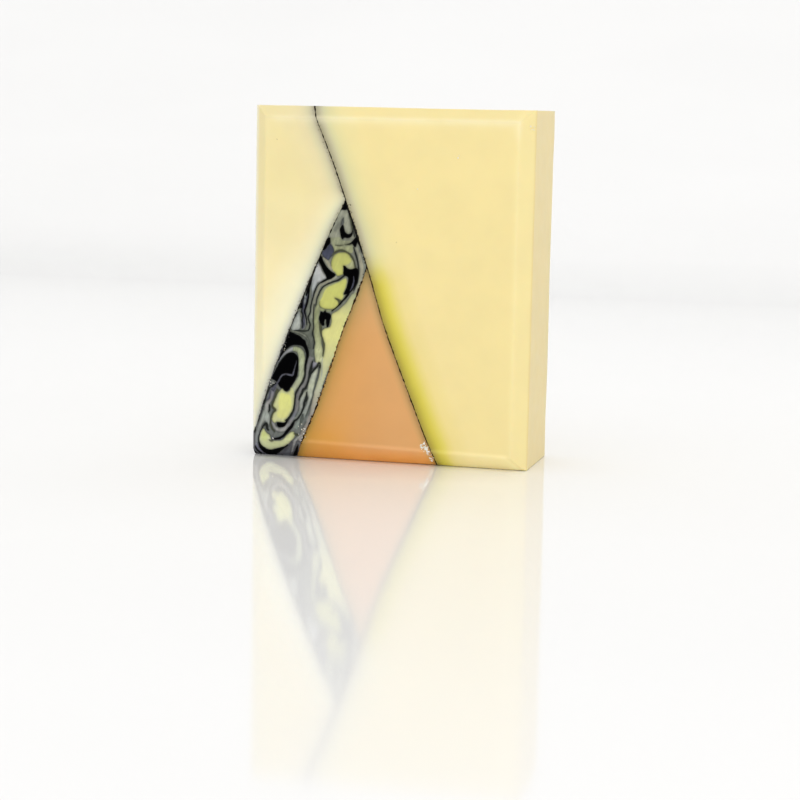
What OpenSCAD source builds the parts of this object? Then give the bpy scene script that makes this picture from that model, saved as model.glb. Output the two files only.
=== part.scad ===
// Handmade soap bar of several pours, standing on its narrow edge.
// X runs across the decorated face, Y from that face (-Y) to the back, and Z is up.
// The origin is the middle of the base. Every pour and every charcoal line runs
// straight through the bar from the decorated face to the back.

/* [Bar] */
// Width across the decorated face
bar_w = 63.5; // [58:0.5:70]
// Height as the bar stands
bar_h = 79; // [72:1:86]
// Thickness from the decorated face to the back
bar_t = 27; // [22:1:32]

/* [Planed edges] */
// Bevel along the top of the decorated face
bevel_top = 2.6; // [1:0.1:4]
// Bevel along the left of the decorated face
bevel_left = 3; // [1:0.1:4]
// Bevel along the right of the decorated face
bevel_right = 3.2; // [1:0.1:4]
// Bevel along the base of the decorated face, at its left end
bevel_base_left = 4.4; // [3:0.1:5]
// Bevel along the base of the decorated face, at its right end
bevel_base_right = 2.9; // [1:0.1:3]
// Bevel along the four edges of the back
bevel_back = 1.5; // [0.5:0.1:3]

/* [Charcoal lines] */
// Thickness of the charcoal between two pours
line_t = 0.3; // [0.2:0.05:0.6]

/* [Hidden] */

// Larger than the bar in every direction
far = 200;
// How far an outline runs past the bar where the bar cuts it off
margin = 2;
// Straight pieces between two neighbouring points of a smooth outline
steps = 4;
// The size that the outlines below are drawn at
drawn_w = 63.5;
drawn_h = 79;

// Where the marble and the peach wedge end in a point on the long seam, as [x, z]
marble_tip = [-10, 58.5];
peach_tip = [-4.9, 44];
// The seams on the decorated face
long_seam = [
    [-19, 81], [-16.5, 75], [-12.9, 66.4], marble_tip, [-7.3, 51.2], peach_tip, [-3.6, 40],
    [-0.9, 31.5], [2.5, 22.8], [6.1, 14], [9, 7], [10.6, 3.4], [11.3, -0.5], [11.8, -3]
];
left_seam = [
    marble_tip, [-14, 50], [-18.1, 40], [-22.2, 30], [-26, 20], [-28.6, 12],
    [-29.9, 8.5], [-31, 6.2], [-32.8, 3.4], [-35, 0.6]
];
middle_seam = [
    peach_tip, [-6, 40.7], [-7.6, 36.3], [-10.1, 29.8], [-13.5, 19.5],
    [-15.9, 12.5], [-18, 7.3], [-19.6, 3.7], [-21.5, 0], [-23, -3]
];

// The marble's pale strip, which lies against the middle seam
pale_strip = [
    [-7.4, 38.6], [-10.6, 34.9], [-12.6, 32.9], [-13.2, 30.4], [-14.9, 28], [-15, 25.2],
    [-14.5, 22], [-15.4, 17.5], [-17.6, 11], [-15.6, 10.6], [-12, 20], [-8.6, 30], [-6, 38]
];
// The marble's yellow islands, from the top down
yellow_islands = [
    [
        [-12.8, 46.2], [-11.3, 47], [-9.3, 46.9], [-7.9, 45], [-9, 44], [-10.2, 43.2],
        [-10.9, 41.7], [-12.4, 42.9], [-13.1, 44.4]
    ],
    [
        [-9.5, 41.3], [-12.6, 40.1], [-14.8, 38.9], [-16.2, 36.3], [-15.5, 34.2],
        [-13.2, 33.9], [-11.5, 34.9], [-10.4, 37.2], [-9.8, 39.4]
    ],
    [
        [-24.8, 15.2], [-23, 15.2], [-21.2, 15.1], [-21.4, 12.5], [-22.1, 10.3],
        [-23.6, 8.7], [-25.9, 8.8], [-25.5, 10.8], [-26, 12.7]
    ],
    [
        [-28.3, 6.9], [-29.5, 4.9], [-29.2, 2.8], [-27.6, 1.7], [-24.8, 2.3],
        [-22.1, 3.7], [-21, 6.1], [-22.4, 5.1], [-24.6, 4], [-26.6, 4], [-27.4, 5.4]
    ]
];
// The marble's black shapes, from the top down
black_shapes = [
    // the tip between the two seams
    [[-10.2, 60], [-8.4, 57.8], [-9.2, 56.5], [-10.2, 56.3], [-11.6, 56.4]],
    // a hook below the tip
    [
        [-10.6, 52.9], [-11.2, 51.9], [-10.9, 50.6], [-10.2, 50], [-8.9, 50.1],
        [-8.2, 51], [-8.4, 51.9], [-9.2, 51.1], [-9.9, 51.5], [-10.1, 52.6]
    ],
    // a slanting band from the left seam
    [
        [-17, 46.6], [-15.1, 46], [-14.4, 44.4], [-13.3, 42.9], [-11.9, 41.4],
        [-13.4, 40.6], [-14.4, 41.6], [-15.4, 43.6]
    ],
    // a crescent between the two upper islands and the middle seam
    [[-9.7, 43.4], [-7, 43.4], [-7.2, 41], [-8.2, 39], [-9.6, 37.9], [-9.2, 39.6], [-9, 41.5]],
    // a spot under the second island
    [
        [-15.3, 33.3], [-13.9, 33.3], [-13.2, 32.4], [-13.6, 30.9], [-14.3, 30.9],
        [-15.2, 29.2], [-15.4, 30.8], [-15.8, 32.2]
    ],
    // an arch over the oval
    [
        [-24.2, 29.4], [-21, 28.5], [-19.2, 27.7], [-18.1, 25.8], [-18, 23.5], [-18.6, 19.4],
        [-18.8, 22], [-18.6, 24.2], [-19.4, 25.5], [-21, 25.9], [-22.4, 25.5], [-25.4, 26.2]
    ],
    // the oval
    [
        [-21.6, 24.1], [-20.4, 23.3], [-20.3, 20], [-21.3, 17.4], [-22.6, 15.8],
        [-24.4, 15.9], [-25.9, 17.6], [-25.1, 20.8], [-23.7, 23.2]
    ],
    // a cup under the third island
    [[-25.3, 8], [-23.4, 7.9], [-21.7, 9.9], [-20.9, 12], [-21.2, 9.4], [-22.6, 7.6], [-24.3, 6.9]],
    // a keel under the hook-shaped island
    [
        [-30, 3.4], [-29.3, 2], [-27.4, 1], [-25, 1.6], [-22.6, 2.9], [-23.4, 2],
        [-24.8, 1.1], [-26.1, 0.6], [-28.2, 0.5], [-29.7, 1.1], [-30.5, 2.2]
    ]
];

// An outline as drawn, stretched to the bar's own width and height
function fitted(points) = [for (p = points) [p.x * bar_w / drawn_w, p.y * bar_h / drawn_h]];

// A point on the smooth curve from b to c, with a and d as their neighbours
function curve_point(a, b, c, d, t) =
    0.5 * (2 * b + (c - a) * t + (2 * a - 5 * b + 4 * c - d) * t * t
        + (3 * b - a - 3 * c + d) * t * t * t);

// An open smooth line through the points
function smooth_line(points) =
    let (p = fitted(points), last = len(p) - 1)
    [
        for (i = [0 : last - 1], k = [0 : steps - 1])
            curve_point(p[max(i - 1, 0)], p[i], p[i + 1], p[min(i + 2, last)], k / steps),
        p[last]
    ];

// A closed smooth loop through the points
function smooth_loop(points) =
    let (p = fitted(points), n = len(p))
    [
        for (i = [0 : n - 1], k = [0 : steps - 1])
            curve_point(p[(i + n - 1) % n], p[i], p[(i + 1) % n], p[(i + 2) % n], k / steps)
    ];

// The unit normal of a line at its point i
function normal_at(line, i) =
    let (d = line[min(i + 1, len(line) - 1)] - line[max(i - 1, 0)])
    [-d.y, d.x] / norm(d);

// A band of even thickness along a line
function band(line) = concat(
    [for (i = [0 : len(line) - 1]) line[i] + normal_at(line, i) * line_t / 2],
    [for (i = [len(line) - 1 : -1 : 0]) line[i] - normal_at(line, i) * line_t / 2]
);

long_line = smooth_line(long_seam);
left_line = smooth_line(left_seam);
middle_line = smooth_line(middle_seam);

// An outline on the decorated face, run straight through the bar
module through(outline) {
    rotate([90, 0, 0]) linear_extrude(height = bar_t + 2 * margin, center = true) polygon(outline);
}

// Everything above a plane through the point, turned from level
module cut_away(point, turn) {
    translate(point) rotate(turn) translate([-far, -far, 0]) cube(2 * far);
}

// The whole bar, with its planed edges
module block() {
    front = -bar_t / 2;
    base_taper = atan((bevel_base_left - bevel_base_right) / (bar_w * sqrt(2)));
    difference() {
        translate([-bar_w / 2, front, 0]) cube([bar_w, bar_t, bar_h]);
        cut_away([0, front, bar_h - bevel_top], [45, 0, 0]);
        cut_away([bevel_left - bar_w / 2, front, 0], [0, -90, 45]);
        cut_away([bar_w / 2 - bevel_right, front, 0], [0, 90, -45]);
        translate([-bar_w / 2, front, bevel_base_left]) rotate([135, 0, 0])
            cut_away([0, 0, 0], [0, -base_taper, 0]);
        cut_away([0, -front, bar_h - bevel_back], [-45, 0, 0]);
        cut_away([0, -front, bevel_back], [-135, 0, 0]);
        cut_away([bevel_back - bar_w / 2, -front, 0], [0, -90, -45]);
        cut_away([bar_w / 2 - bevel_back, -front, 0], [0, 90, 45]);
    }
}

// The side of the long line away from the side pour
module right_of_long_line() {
    through(concat(long_line, [[far, -margin], [far, bar_h + margin]]));
}

// The marble and the peach wedge together, under the side pour
module below_left_line() {
    low = left_line[len(left_line) - 1].x;
    through(concat(left_line, [[low, -far], [far, -far], [far, left_line[0].y]]));
}

// The side of the middle line where the peach wedge is
module below_middle_line() {
    through(concat(middle_line, [[far, middle_line[len(middle_line) - 1].y], [far, middle_line[0].y]]));
}

// All three charcoal lines, as the pours are cut by them
module all_lines() {
    through(band(long_line));
    through(band(left_line));
    through(band(middle_line));
}

// Everything between the three lines where the marble lies
module marble_space() {
    difference() {
        intersection() {
            block();
            below_left_line();
        }
        right_of_long_line();
        below_middle_line();
        all_lines();
    }
}

module islands(outlines) {
    for (outline = outlines) through(smooth_loop(outline));
}

module cream_main_pour() {
    color("#f3e1a4") difference() {
        intersection() {
            block();
            right_of_long_line();
        }
        all_lines();
    }
}

module cream_side_pour() {
    color("#f5e6b4") difference() {
        block();
        right_of_long_line();
        below_left_line();
        all_lines();
    }
}

module peach_wedge() {
    color("#dda25f") difference() {
        intersection() {
            block();
            below_middle_line();
        }
        right_of_long_line();
        all_lines();
    }
}

module marble_grey() {
    color("#7a7d77") difference() {
        marble_space();
        through(smooth_loop(pale_strip));
        islands(yellow_islands);
        islands(black_shapes);
    }
}

module marble_pale_strip() {
    color("#d6d892") intersection() {
        marble_space();
        through(smooth_loop(pale_strip));
    }
}

module marble_yellow() {
    color("#d2d585") intersection() {
        marble_space();
        islands(yellow_islands);
    }
}

module marble_black() {
    color("#0c0c10") intersection() {
        marble_space();
        islands(black_shapes);
    }
}

// A charcoal line that starts at the long one
module branch_line(line) {
    difference() {
        intersection() {
            block();
            through(band(line));
        }
        through(band(long_line));
    }
}

module charcoal_line_long() {
    color("#2a241c") intersection() {
        block();
        through(band(long_line));
    }
}

module charcoal_line_left() {
    color("#2a241c") branch_line(left_line);
}

module charcoal_line_middle() {
    color("#2a241c") branch_line(middle_line);
}

cream_main_pour();
cream_side_pour();
peach_wedge();
marble_grey();
marble_pale_strip();
marble_yellow();
marble_black();
charcoal_line_long();
charcoal_line_left();
charcoal_line_middle();
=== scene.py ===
"""Looks for the soap bar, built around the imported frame.

The bar's decorated face is drawn once, as seams, charcoal lines and swirls, in millimetres: x across the face and
z up from the base. The drawing is cut into triangles, run through the bar to its back, and split into one closed
solid for each pour, each colour of swirl and each charcoal line, so that neighbours share every point.
"""
import math
import random

import bmesh
import bpy
import numpy as np
from mathutils import Matrix, Vector, noise
from mathutils.geometry import delaunay_2d_cdt
from mathutils.kdtree import KDTree


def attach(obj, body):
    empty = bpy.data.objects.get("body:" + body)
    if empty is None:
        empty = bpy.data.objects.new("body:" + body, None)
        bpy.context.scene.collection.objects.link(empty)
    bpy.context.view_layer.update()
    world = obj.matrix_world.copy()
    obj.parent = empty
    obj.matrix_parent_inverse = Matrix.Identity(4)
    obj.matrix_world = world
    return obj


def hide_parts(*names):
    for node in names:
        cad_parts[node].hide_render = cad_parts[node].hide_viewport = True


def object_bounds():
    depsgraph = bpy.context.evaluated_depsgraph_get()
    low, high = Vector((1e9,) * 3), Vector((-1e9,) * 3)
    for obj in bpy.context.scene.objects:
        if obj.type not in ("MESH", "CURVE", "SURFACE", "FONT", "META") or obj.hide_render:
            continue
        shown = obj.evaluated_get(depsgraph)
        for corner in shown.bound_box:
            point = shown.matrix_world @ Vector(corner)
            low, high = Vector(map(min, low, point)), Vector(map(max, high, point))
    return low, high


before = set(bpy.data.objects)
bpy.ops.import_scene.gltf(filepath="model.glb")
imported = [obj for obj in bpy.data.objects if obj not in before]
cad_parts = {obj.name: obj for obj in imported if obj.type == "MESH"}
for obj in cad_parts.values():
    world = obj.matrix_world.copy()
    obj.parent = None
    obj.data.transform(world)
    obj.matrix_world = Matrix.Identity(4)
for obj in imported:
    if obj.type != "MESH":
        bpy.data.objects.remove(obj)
cad_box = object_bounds()

# ---------------------------------------------------------------- the bar's sizes, in millimetres
MM = 0.001
low, high = [np.array(corner) / MM for corner in cad_box]
WIDTH, DEPTH, HEIGHT = high - low
HALF = WIDTH / 2
FRONT = low[1]
BACK = high[1]
BEVEL_TOP = 2.6
BEVEL_LEFT = 3.0
BEVEL_RIGHT = 3.2
BEVEL_BASE_LEFT = 4.4
BEVEL_BASE_RIGHT = 2.9
BEVEL_BACK = 1.5
# How tightly the edges are rounded: larger is sharper
EDGE_SHARPNESS = 16.0

# ---------------------------------------------------------------- the drawing on the decorated face
MARBLE_TIP = (-10, 58.5)
PEACH_TIP = (-4.9, 44)
LONG_SEAM = [
    (-19, 81), (-16.5, 75), (-12.9, 66.4), MARBLE_TIP, (-7.3, 51.2), PEACH_TIP, (-3.6, 40),
    (-0.9, 31.5), (2.5, 22.8), (6.1, 14), (9, 7), (10.6, 3.4), (11.3, -0.5), (11.8, -3),
]
LEFT_SEAM = [
    MARBLE_TIP, (-14, 50), (-18.1, 40), (-22.2, 30), (-26, 20), (-28.6, 12),
    (-29.9, 8.5), (-31, 6.2), (-32.8, 3.4), (-35, 0.6),
]
MIDDLE_SEAM = [
    PEACH_TIP, (-6, 40.7), (-7.6, 36.3), (-10.1, 29.8), (-13.5, 19.5),
    (-15.9, 12.5), (-18, 7.3), (-19.6, 3.7), (-21.5, 0), (-23, -3),
]


def area(colour, *points):
    """A closed swirl."""
    return {"colour": colour, "points": points, "width": None}


def stroke(colour, width, *points):
    """A drawn-out swirl. A list of widths runs from its start to its end; a single width thins out at both ends."""
    return {"colour": colour, "points": points, "width": width}


# Marble colours, each the same all over or changing with height: (z, colour)
COLOURS = {
    "grey": [
        (0, (84, 85, 88)), (5, (108, 112, 108)), (10, (112, 118, 112)), (16, (100, 104, 100)),
        (22, (92, 97, 91)), (28, (94, 99, 88)), (31, (124, 130, 112)), (40, (124, 128, 116)),
        (50, (122, 124, 110)),
    ],
    "light": [
        (0, (150, 150, 146)), (8, (160, 162, 150)), (27, (130, 135, 120)), (30, (152, 156, 136)),
        (44, (156, 153, 132)), (50, (140, 142, 124)), (56, (148, 150, 132)),
    ],
    "ash": [
        (3, (120, 122, 124)), (5, (130, 134, 133)), (8, (158, 163, 156)), (10, (158, 165, 157)),
        (12, (178, 177, 173)), (13.5, (138, 136, 134)), (15, (142, 142, 152)), (16.5, (122, 120, 130)),
        (21, (156, 156, 168)), (25, (160, 162, 162)),
    ],
    "silver": [(28, (168, 172, 164)), (38, (156, 163, 161)), (43, (187, 188, 186))],
    "drab": [
        (5, (158, 158, 152)), (7.5, (154, 154, 151)), (9, (136, 136, 139)), (10, (118, 122, 130)),
        (12, (124, 122, 120)), (18, (126, 126, 124)), (23, (122, 122, 120)),
    ],
    "mid": [
        (0, (78, 77, 80)), (5, (80, 79, 82)), (8, (86, 94, 88)), (14, (84, 92, 84)), (50, (84, 88, 84)),
    ],
    "band": [
        (7, (124, 134, 126)), (10, (142, 150, 142)), (12.5, (166, 171, 163)), (14, (168, 174, 162)),
        (17, (194, 200, 174)), (19, (186, 192, 174)), (21, (176, 180, 161)),
    ],
    "sage": [
        (15, (182, 188, 156)), (19, (174, 182, 150)), (25, (166, 174, 136)), (46, (166, 170, 118)),
        (49, (144, 148, 118)),
    ],
    "strip": [(23, (190, 194, 150)), (28, (156, 161, 122)), (33, (146, 152, 112)), (44, (168, 171, 128))],
    "olive": [(0, (74, 78, 44))],
    "yellow": [
        (2, (204, 208, 153)), (6, (206, 210, 150)), (9, (204, 206, 150)), (16, (204, 208, 148)),
        (34, (203, 204, 112)), (41, (196, 198, 108)), (47, (182, 184, 104)),
    ],
    "core": [(4, (200, 208, 136)), (9, (214, 214, 138)), (14, (222, 224, 136))],
    "pale": [
        (5, (152, 148, 140)), (10, (148, 142, 134)), (11, (160, 157, 146)), (14, (176, 172, 152)),
        (17, (192, 196, 166)), (21, (198, 199, 152)), (25, (208, 207, 144)), (28, (218, 216, 140)),
        (33, (213, 211, 138)), (36, (186, 188, 138)), (38, (166, 170, 132)),
    ],
    "slate": [
        (0, (122, 120, 132)), (4, (110, 108, 122)), (8, (64, 68, 88)), (20, (92, 93, 106)),
        (44, (70, 74, 96)), (48, (54, 58, 76)),
    ],
    "dark": [(0, (44, 47, 44))],
    "black": [(0, (0, 0, 1))],
}

# Later swirls lie over earlier ones
SWIRLS = [
    # under the tip
    area("light", (-14.6, 49.8), (-13, 53), (-11, 57), (-9, 57), (-7.4, 51.6), (-7.4, 49.8), (-10, 50.6)),
    stroke("grey", [0.3, 0.9, 1, 0.5], (-12.5, 51.6), (-11.9, 52.4), (-11.2, 53.2), (-10.6, 54.3)),
    stroke("mid", [0.15, 0.5, 0.6], (-10.5, 54.6), (-10.6, 53.8), (-10.75, 53)),
    stroke("olive", [0.2, 0.35, 0.4, 0.3], (-9.3, 56.2), (-8.9, 54.6), (-8.5, 53), (-8.2, 51.6)),
    area(
        "sage", (-13.4, 49.9), (-12, 50.2), (-11.3, 50.3), (-10.3, 49.6), (-8.8, 49.6), (-8.3, 48.9),
        (-8.1, 47.6),
        (-8.6, 46.9), (-10.2, 47.3), (-12, 47.2), (-12.8, 46.9), (-12.7, 48.2),
    ),
    stroke("olive", 0.12, (-12.2, 48.5), (-11.4, 48.45), (-10.4, 48.6)),
    stroke("olive", 0.14, (-10, 48.7), (-9, 48.75), (-8.3, 48.9)),
    # around the upper island
    stroke(
        "light", [0.3, 0.6, 0.75, 0.8, 0.8, 0.8, 0.8, 0.6], (-7.35, 48.2), (-6.85, 47), (-6.4, 45.4),
        (-6.05, 43.6),
        (-6.1, 41.8), (-6.5, 40), (-7.3, 38.2), (-8.6, 36.2),
    ),
    stroke(
        "dark", [0.15, 0.3, 0.3, 0.3, 0.3, 0.3, 0.2], (-8, 48.2), (-7.6, 47), (-7.15, 45.6), (-6.85, 44.1),
        (-6.8, 42.2), (-7.1, 40.4), (-7.9, 38.6),
    ),
    area(
        "slate", (-13.5, 48.8), (-12.7, 48), (-12.5, 46.9), (-13.2, 45.8), (-13.9, 45.2), (-14.9, 45.9),
        (-15.3, 46.8), (-14.6, 47.5), (-13.9, 48.2),
    ),
    stroke("light", [0.3, 0.6, 0.7, 0.5, 0.2], (-15, 45.6), (-14.2, 45), (-13.6, 44.1), (-13, 43.2),
    (-12.3, 42.5)),
    area("strip", (-10, 44.2), (-9.3, 45.6), (-8.5, 45.9), (-8, 45.3), (-7.6, 44.3), (-7.6, 43.4), (-9, 43.4)),
    stroke(
        "olive", [0.15, 0.4, 0.45, 0.4, 0.35, 0.3, 0.3], (-13, 46.1), (-12.2, 46.95), (-10.95, 47.4),
        (-9.7, 47.1),
        (-8.5, 46.2), (-7.8, 44.9), (-7.5, 43.4),
    ),
    area(
        "yellow", (-12.5, 46.2), (-11.6, 46.8), (-10.4, 47), (-9.4, 46.8), (-8.7, 46.1), (-8.5, 45.2),
        (-9, 44.5),
        (-9.7, 44.2), (-10.2, 43.8), (-10.3, 43), (-10.2, 42.3), (-10.9, 41.9), (-11.6, 41.7), (-12, 42.2),
        (-12.6, 42.9), (-13.1, 43.9), (-13, 45.1),
    ),
    # the pale patch behind the slanting band
    area(
        "silver", (-16.9, 42.8), (-16.4, 44), (-16, 44.3), (-15.5, 43.5), (-15.2, 42.8), (-14.8, 42.1),
        (-14.2, 41.2),
        (-14.8, 40.8), (-15.4, 40.3), (-16, 40.1), (-16.3, 39.7), (-16.7, 38.7), (-17.1, 37.7), (-17.3, 36.6),
        (-17.6, 36.9), (-17.5, 38), (-17.6, 39), (-17.5, 40.2), (-17.3, 41.2),
    ),
    # around the second island
    stroke(
        "light", [0.3, 0.5, 0.6, 0.6, 0.55, 0.5, 0.55, 0.6, 0.6], (-11.7, 41.7), (-13, 40.75), (-14.4, 40.1),
        (-15.5, 39.4), (-16.15, 38.2), (-16.6, 36.8), (-16.95, 35.2), (-17.15, 33.6), (-17.3, 32),
    ),
    stroke(
        "dark", [0.35, 0.35, 0.3, 0.25, 0.22, 0.22, 0.2, 0.2], (-9.9, 42), (-11.4, 40.8), (-12.8, 40.25),
        (-14.3, 39.6),
        (-15.3, 38.6), (-15.9, 37.4), (-16.3, 36), (-16.5, 34.6),
    ),
    area(
        "strip", (-9.6, 41.4), (-11.4, 40.5), (-12.8, 40.05), (-14.2, 39.45), (-15.1, 38.5), (-15.7, 37.3),
        (-16.1, 36), (-16.2, 34.6), (-15.4, 33.8), (-13.4, 33.7), (-11.8, 34.3), (-10.8, 35.6), (-10, 37),
        (-9.4, 39.4),
    ),
    area(
        "yellow", (-9.7, 41.1), (-10.4, 40.9), (-11.5, 40.2), (-12.7, 39.7), (-13.6, 39.3), (-14.2, 38.8),
        (-14.7, 38),
        (-15, 37), (-15.5, 36.1), (-15.7, 35.3), (-15.3, 34.6), (-14.5, 34.3), (-13.4, 34.2), (-12.3, 34.4),
        (-11.5, 35), (-10.9, 36), (-10.3, 36.9), (-10.2, 38), (-9.8, 39.2), (-9.5, 40.3),
    ),
    area("olive", (-12.1, 36.85), (-11, 36.4), (-10.5, 36.2), (-10.7, 35.4), (-11.3, 35), (-11.3, 35.9)),
    # the wavy lines left of the second island
    area(
        "slate", (-18.4, 37.6), (-18.5, 36), (-18.8, 34.2), (-18.6, 32.6), (-18.5, 31), (-18.9, 29.8),
        (-19.6, 29.5), (-19.8, 31), (-19.7, 32.6), (-19.9, 33.8), (-19.6, 35.4), (-19, 37),
    ),
    stroke("silver", [0.2, 0.45, 0.4, 0.2], (-18.75, 37.7), (-18.9, 36.8), (-19, 35.9), (-19.1, 35)),
    area(
        "silver", (-20.2, 33.6), (-19.95, 32.3), (-19.9, 31.3), (-19.95, 30.4), (-20, 29.7), (-20.7, 29.25),
        (-21.6, 29.1), (-22.1, 29.6), (-21.7, 31), (-21, 32.6),
    ),
    stroke(
        "dark", [0.2, 0.25, 0.3, 0.25, 0.25, 0.2, 0.25, 0.3, 0.3, 0.3, 0.25], (-15.6, 40), (-16.3, 39.2),
        (-16.8, 38),
        (-17.2, 36.6), (-17.6, 35), (-17.7, 34), (-17.85, 33.2), (-18.2, 32.2), (-18, 31.4), (-17.75, 30.5),
        (-18.1, 29.3),
    ),
    stroke("silver", [0.1, 0.25, 0.3, 0.3, 0.25, 0.1], (-19.1, 33), (-18.9, 32), (-18.7, 31.2), (-18.8, 30.4),
    (-19.1, 29.8), (-19.5, 29.4)),
    stroke("dark", [0.2, 0.35, 0.3, 0.35, 0.3, 0.2], (-19.6, 34.4), (-19.7, 33.4), (-19.45, 32.6),
    (-19.6, 31.6), (-19.4, 30.8), (-19.6, 29.8)),
    stroke("dark", 0.3, (-21.8, 29.1), (-20.4, 29.15), (-19.2, 29.1), (-18, 29.25)),
    stroke("light", [0.15, 0.35, 0.4, 0.35, 0.25, 0.1], (-22.3, 29.1), (-21, 28.85), (-19.7, 28.5),
    (-18.7, 27.9), (-18, 26.8), (-17.8, 25.4)),
    # the long strips right of the loop, from the upper islands to the base
    area(
        "strip", (-16.4, 35), (-16.9, 33), (-16.8, 31), (-16.9, 29.4), (-16.7, 27.8), (-16.5, 26.4),
        (-16.7, 24.8),
        (-16.5, 23.4), (-16, 22.6), (-15.2, 22.4), (-14.6, 22.8), (-14.6, 24.8), (-15, 26.6), (-15.1, 28.6),
        (-15.5, 30.4), (-15.8, 32), (-15.6, 33.6), (-16, 34.4),
    ),
    area(
        "pale", (-8.2, 37.8), (-9.4, 36), (-10.6, 34.8), (-11.8, 33.8), (-12.8, 33.1), (-12.8, 31.6),
        (-13.2, 30.3),
        (-14.4, 29.9), (-15, 29.2), (-14.8, 28), (-14.4, 26.6), (-14.4, 25), (-14.7, 23.4), (-15, 22),
        (-15.2, 20.6), (-15.6, 18.8), (-16.1, 17), (-16.7, 15.2), (-17.2, 13.2), (-17.5, 11), (-18.2, 9),
        (-19.1, 7),
        (-20.2, 4.6), (-18, 4.6), (-14.6, 17), (-12, 24), (-8.6, 33), (-6.6, 38),
    ),
    area(
        "strip", (-16.45, 24.6), (-15.6, 25), (-14.7, 24.4), (-14.6, 23), (-14.9, 21.9), (-15.4, 21.4), (-16, 21.7),
        (-16.4, 22.6),
    ),
    stroke("band", [0.15, 0.3, 0.3, 0.2], (-14.75, 23.2), (-14.8, 21.5), (-14.85, 19.8), (-15.1, 18.2)),
    stroke(
        "band", [0.3, 1.1, 1.3, 1.4, 1.4, 1.4, 1.2, 0.9, 0.85, 0.95, 1.05, 0.95, 0.8, 0.7, 0.8], (-15.85, 21.3),
        (-16.25, 20.1), (-16.7, 19), (-17, 18), (-17.25, 17), (-17.5, 16), (-17.5, 15), (-17.5, 14),
        (-17.75, 13),
        (-18.1, 12), (-18.55, 11), (-19.1, 10), (-19.7, 9), (-20.2, 8), (-20.8, 7),
    ),
    stroke(
        "band", [0.3, 0.6, 0.95, 0.85, 0.8, 0.7, 0.65, 0.6, 0.4], (-18.2, 16), (-18.7, 15.2), (-19.2, 14.1),
        (-19.5, 13), (-19.6, 12), (-19.8, 11), (-20.3, 10), (-20.7, 9.4), (-21.1, 8.9),
    ),
    stroke("mid", [0.2, 0.5, 0.7, 0.5, 0.2], (-19.1, 10.4), (-19.25, 9.8), (-19.35, 9.1), (-19.5, 8.5),
    (-19.8, 7.8)),
    stroke(
        "drab", [0.4, 0.7, 0.8, 0.9, 1, 0.9, 0.8, 0.65, 0.6, 0.7, 0.7, 0.7, 0.65, 0.75, 0.65, 0.5, 0.5, 0.7, 1.1],
        (-26.2, 9.2), (-26.1, 8.1), (-25.6, 7), (-24.7, 6.5), (-23.6, 6.7), (-22.8, 7.4), (-22.2, 8.2),
        (-21.6, 9.2),
        (-21.1, 10.2), (-20.7, 11.4), (-20.5, 12.6), (-20.5, 14), (-20.2, 15.2), (-19.6, 16.2), (-18.8, 17.2),
        (-18.4, 18.4), (-18.2, 20), (-18, 21.6), (-17.3, 23.4),
    ),
    area("ash", (-17, 22.4), (-16.3, 22.3), (-15.9, 22), (-16.3, 21.4), (-16.9, 20.9), (-17.2, 21),
    (-17, 21.7)),
    stroke(
        "dark", [0.2, 0.35, 0.6, 0.6, 0.45, 0.4, 0.4, 0.4, 0.45, 0.5, 0.4, 0.2], (-17, 22.5), (-17.2, 21.6),
        (-17.35, 20.8), (-17.55, 20), (-17.7, 19), (-17.95, 18), (-18.2, 17.1), (-18.65, 16.3), (-19.15, 15.9),
        (-19.4, 15.1), (-19.8, 14.3), (-20.1, 13.5),
    ),
    stroke(
        "dark", [0.2, 0.35, 0.4, 0.4, 0.55, 0.4, 0.3], (-17.3, 19.6), (-16.9, 20.2), (-16.35, 20.8),
        (-15.85, 21.4),
        (-15.5, 22.1), (-15.3, 21.6), (-15.35, 20.8),
    ),
    stroke(
        "mid", [0.35, 0.3, 0.25, 0.25, 0.25, 0.2, 0.25, 0.35, 0.35, 0.3, 0.15], (-15.35, 21), (-15.5, 20),
        (-15.75, 18.9),
        (-16.05, 17.6), (-16.45, 16.5), (-16.7, 15.6), (-16.85, 14.6), (-17.2, 13.3), (-17.5, 12.3),
        (-17.9, 11.2), (-18.5, 9.6),
    ),
    stroke(
        "dark", [0.2, 0.45, 0.75, 0.5, 0.45, 0.4, 0.35, 0.35, 0.4, 0.4], (-18.3, 15.4), (-18.35, 14.4),
        (-18.4, 13.7),
        (-18.8, 13.1), (-18.9, 12.3), (-19.15, 11.5), (-19.5, 10.6), (-19.9, 9.9), (-20.4, 9.2), (-21.2, 8.6),
    ),
    # the line between the strips, thick at its head
    stroke(
        "olive", [0.5, 0.6, 0.45, 0.2, 0.25, 0.5, 0.4, 0.2], (-15.4, 31.4), (-15.3, 30.2), (-15.2, 29.2),
        (-15.1, 28.4),
        (-14.8, 27.4), (-14.5, 26.4), (-14.5, 25), (-14.7, 23.6),
    ),
    stroke(
        "dark", [0.15, 0.2, 0.22, 0.2, 0.25, 0.2, 0.15], (-16.8, 35.2), (-17, 33.4), (-17, 31.8), (-16.9, 30),
        (-17.1, 28.6), (-16.7, 27), (-16.9, 25.2),
    ),
    # the loop round the oval, grey on its left
    stroke("ash", [0.15, 0.35, 0.6, 1, 0.9], (-25.1, 21.8), (-24.1, 23.2), (-23, 24.3), (-21.8, 24.95),
    (-21, 25)),
    stroke(
        "sage", [0.9, 1.2, 1.5, 1.55, 1.35, 1.3, 1.3, 1.3, 1.3, 1.3, 1.2, 1.1, 0.8], (-21.6, 25),
        (-20.5, 24.9), (-19.8, 24.2),
        (-19.55, 23), (-19.6, 22), (-19.6, 21), (-19.6, 20), (-19.7, 19), (-20.1, 18), (-20.7, 17), (-21.3, 16),
        (-21.7, 15), (-21.8, 14),
    ),
    # left of the third island
    stroke(
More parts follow.
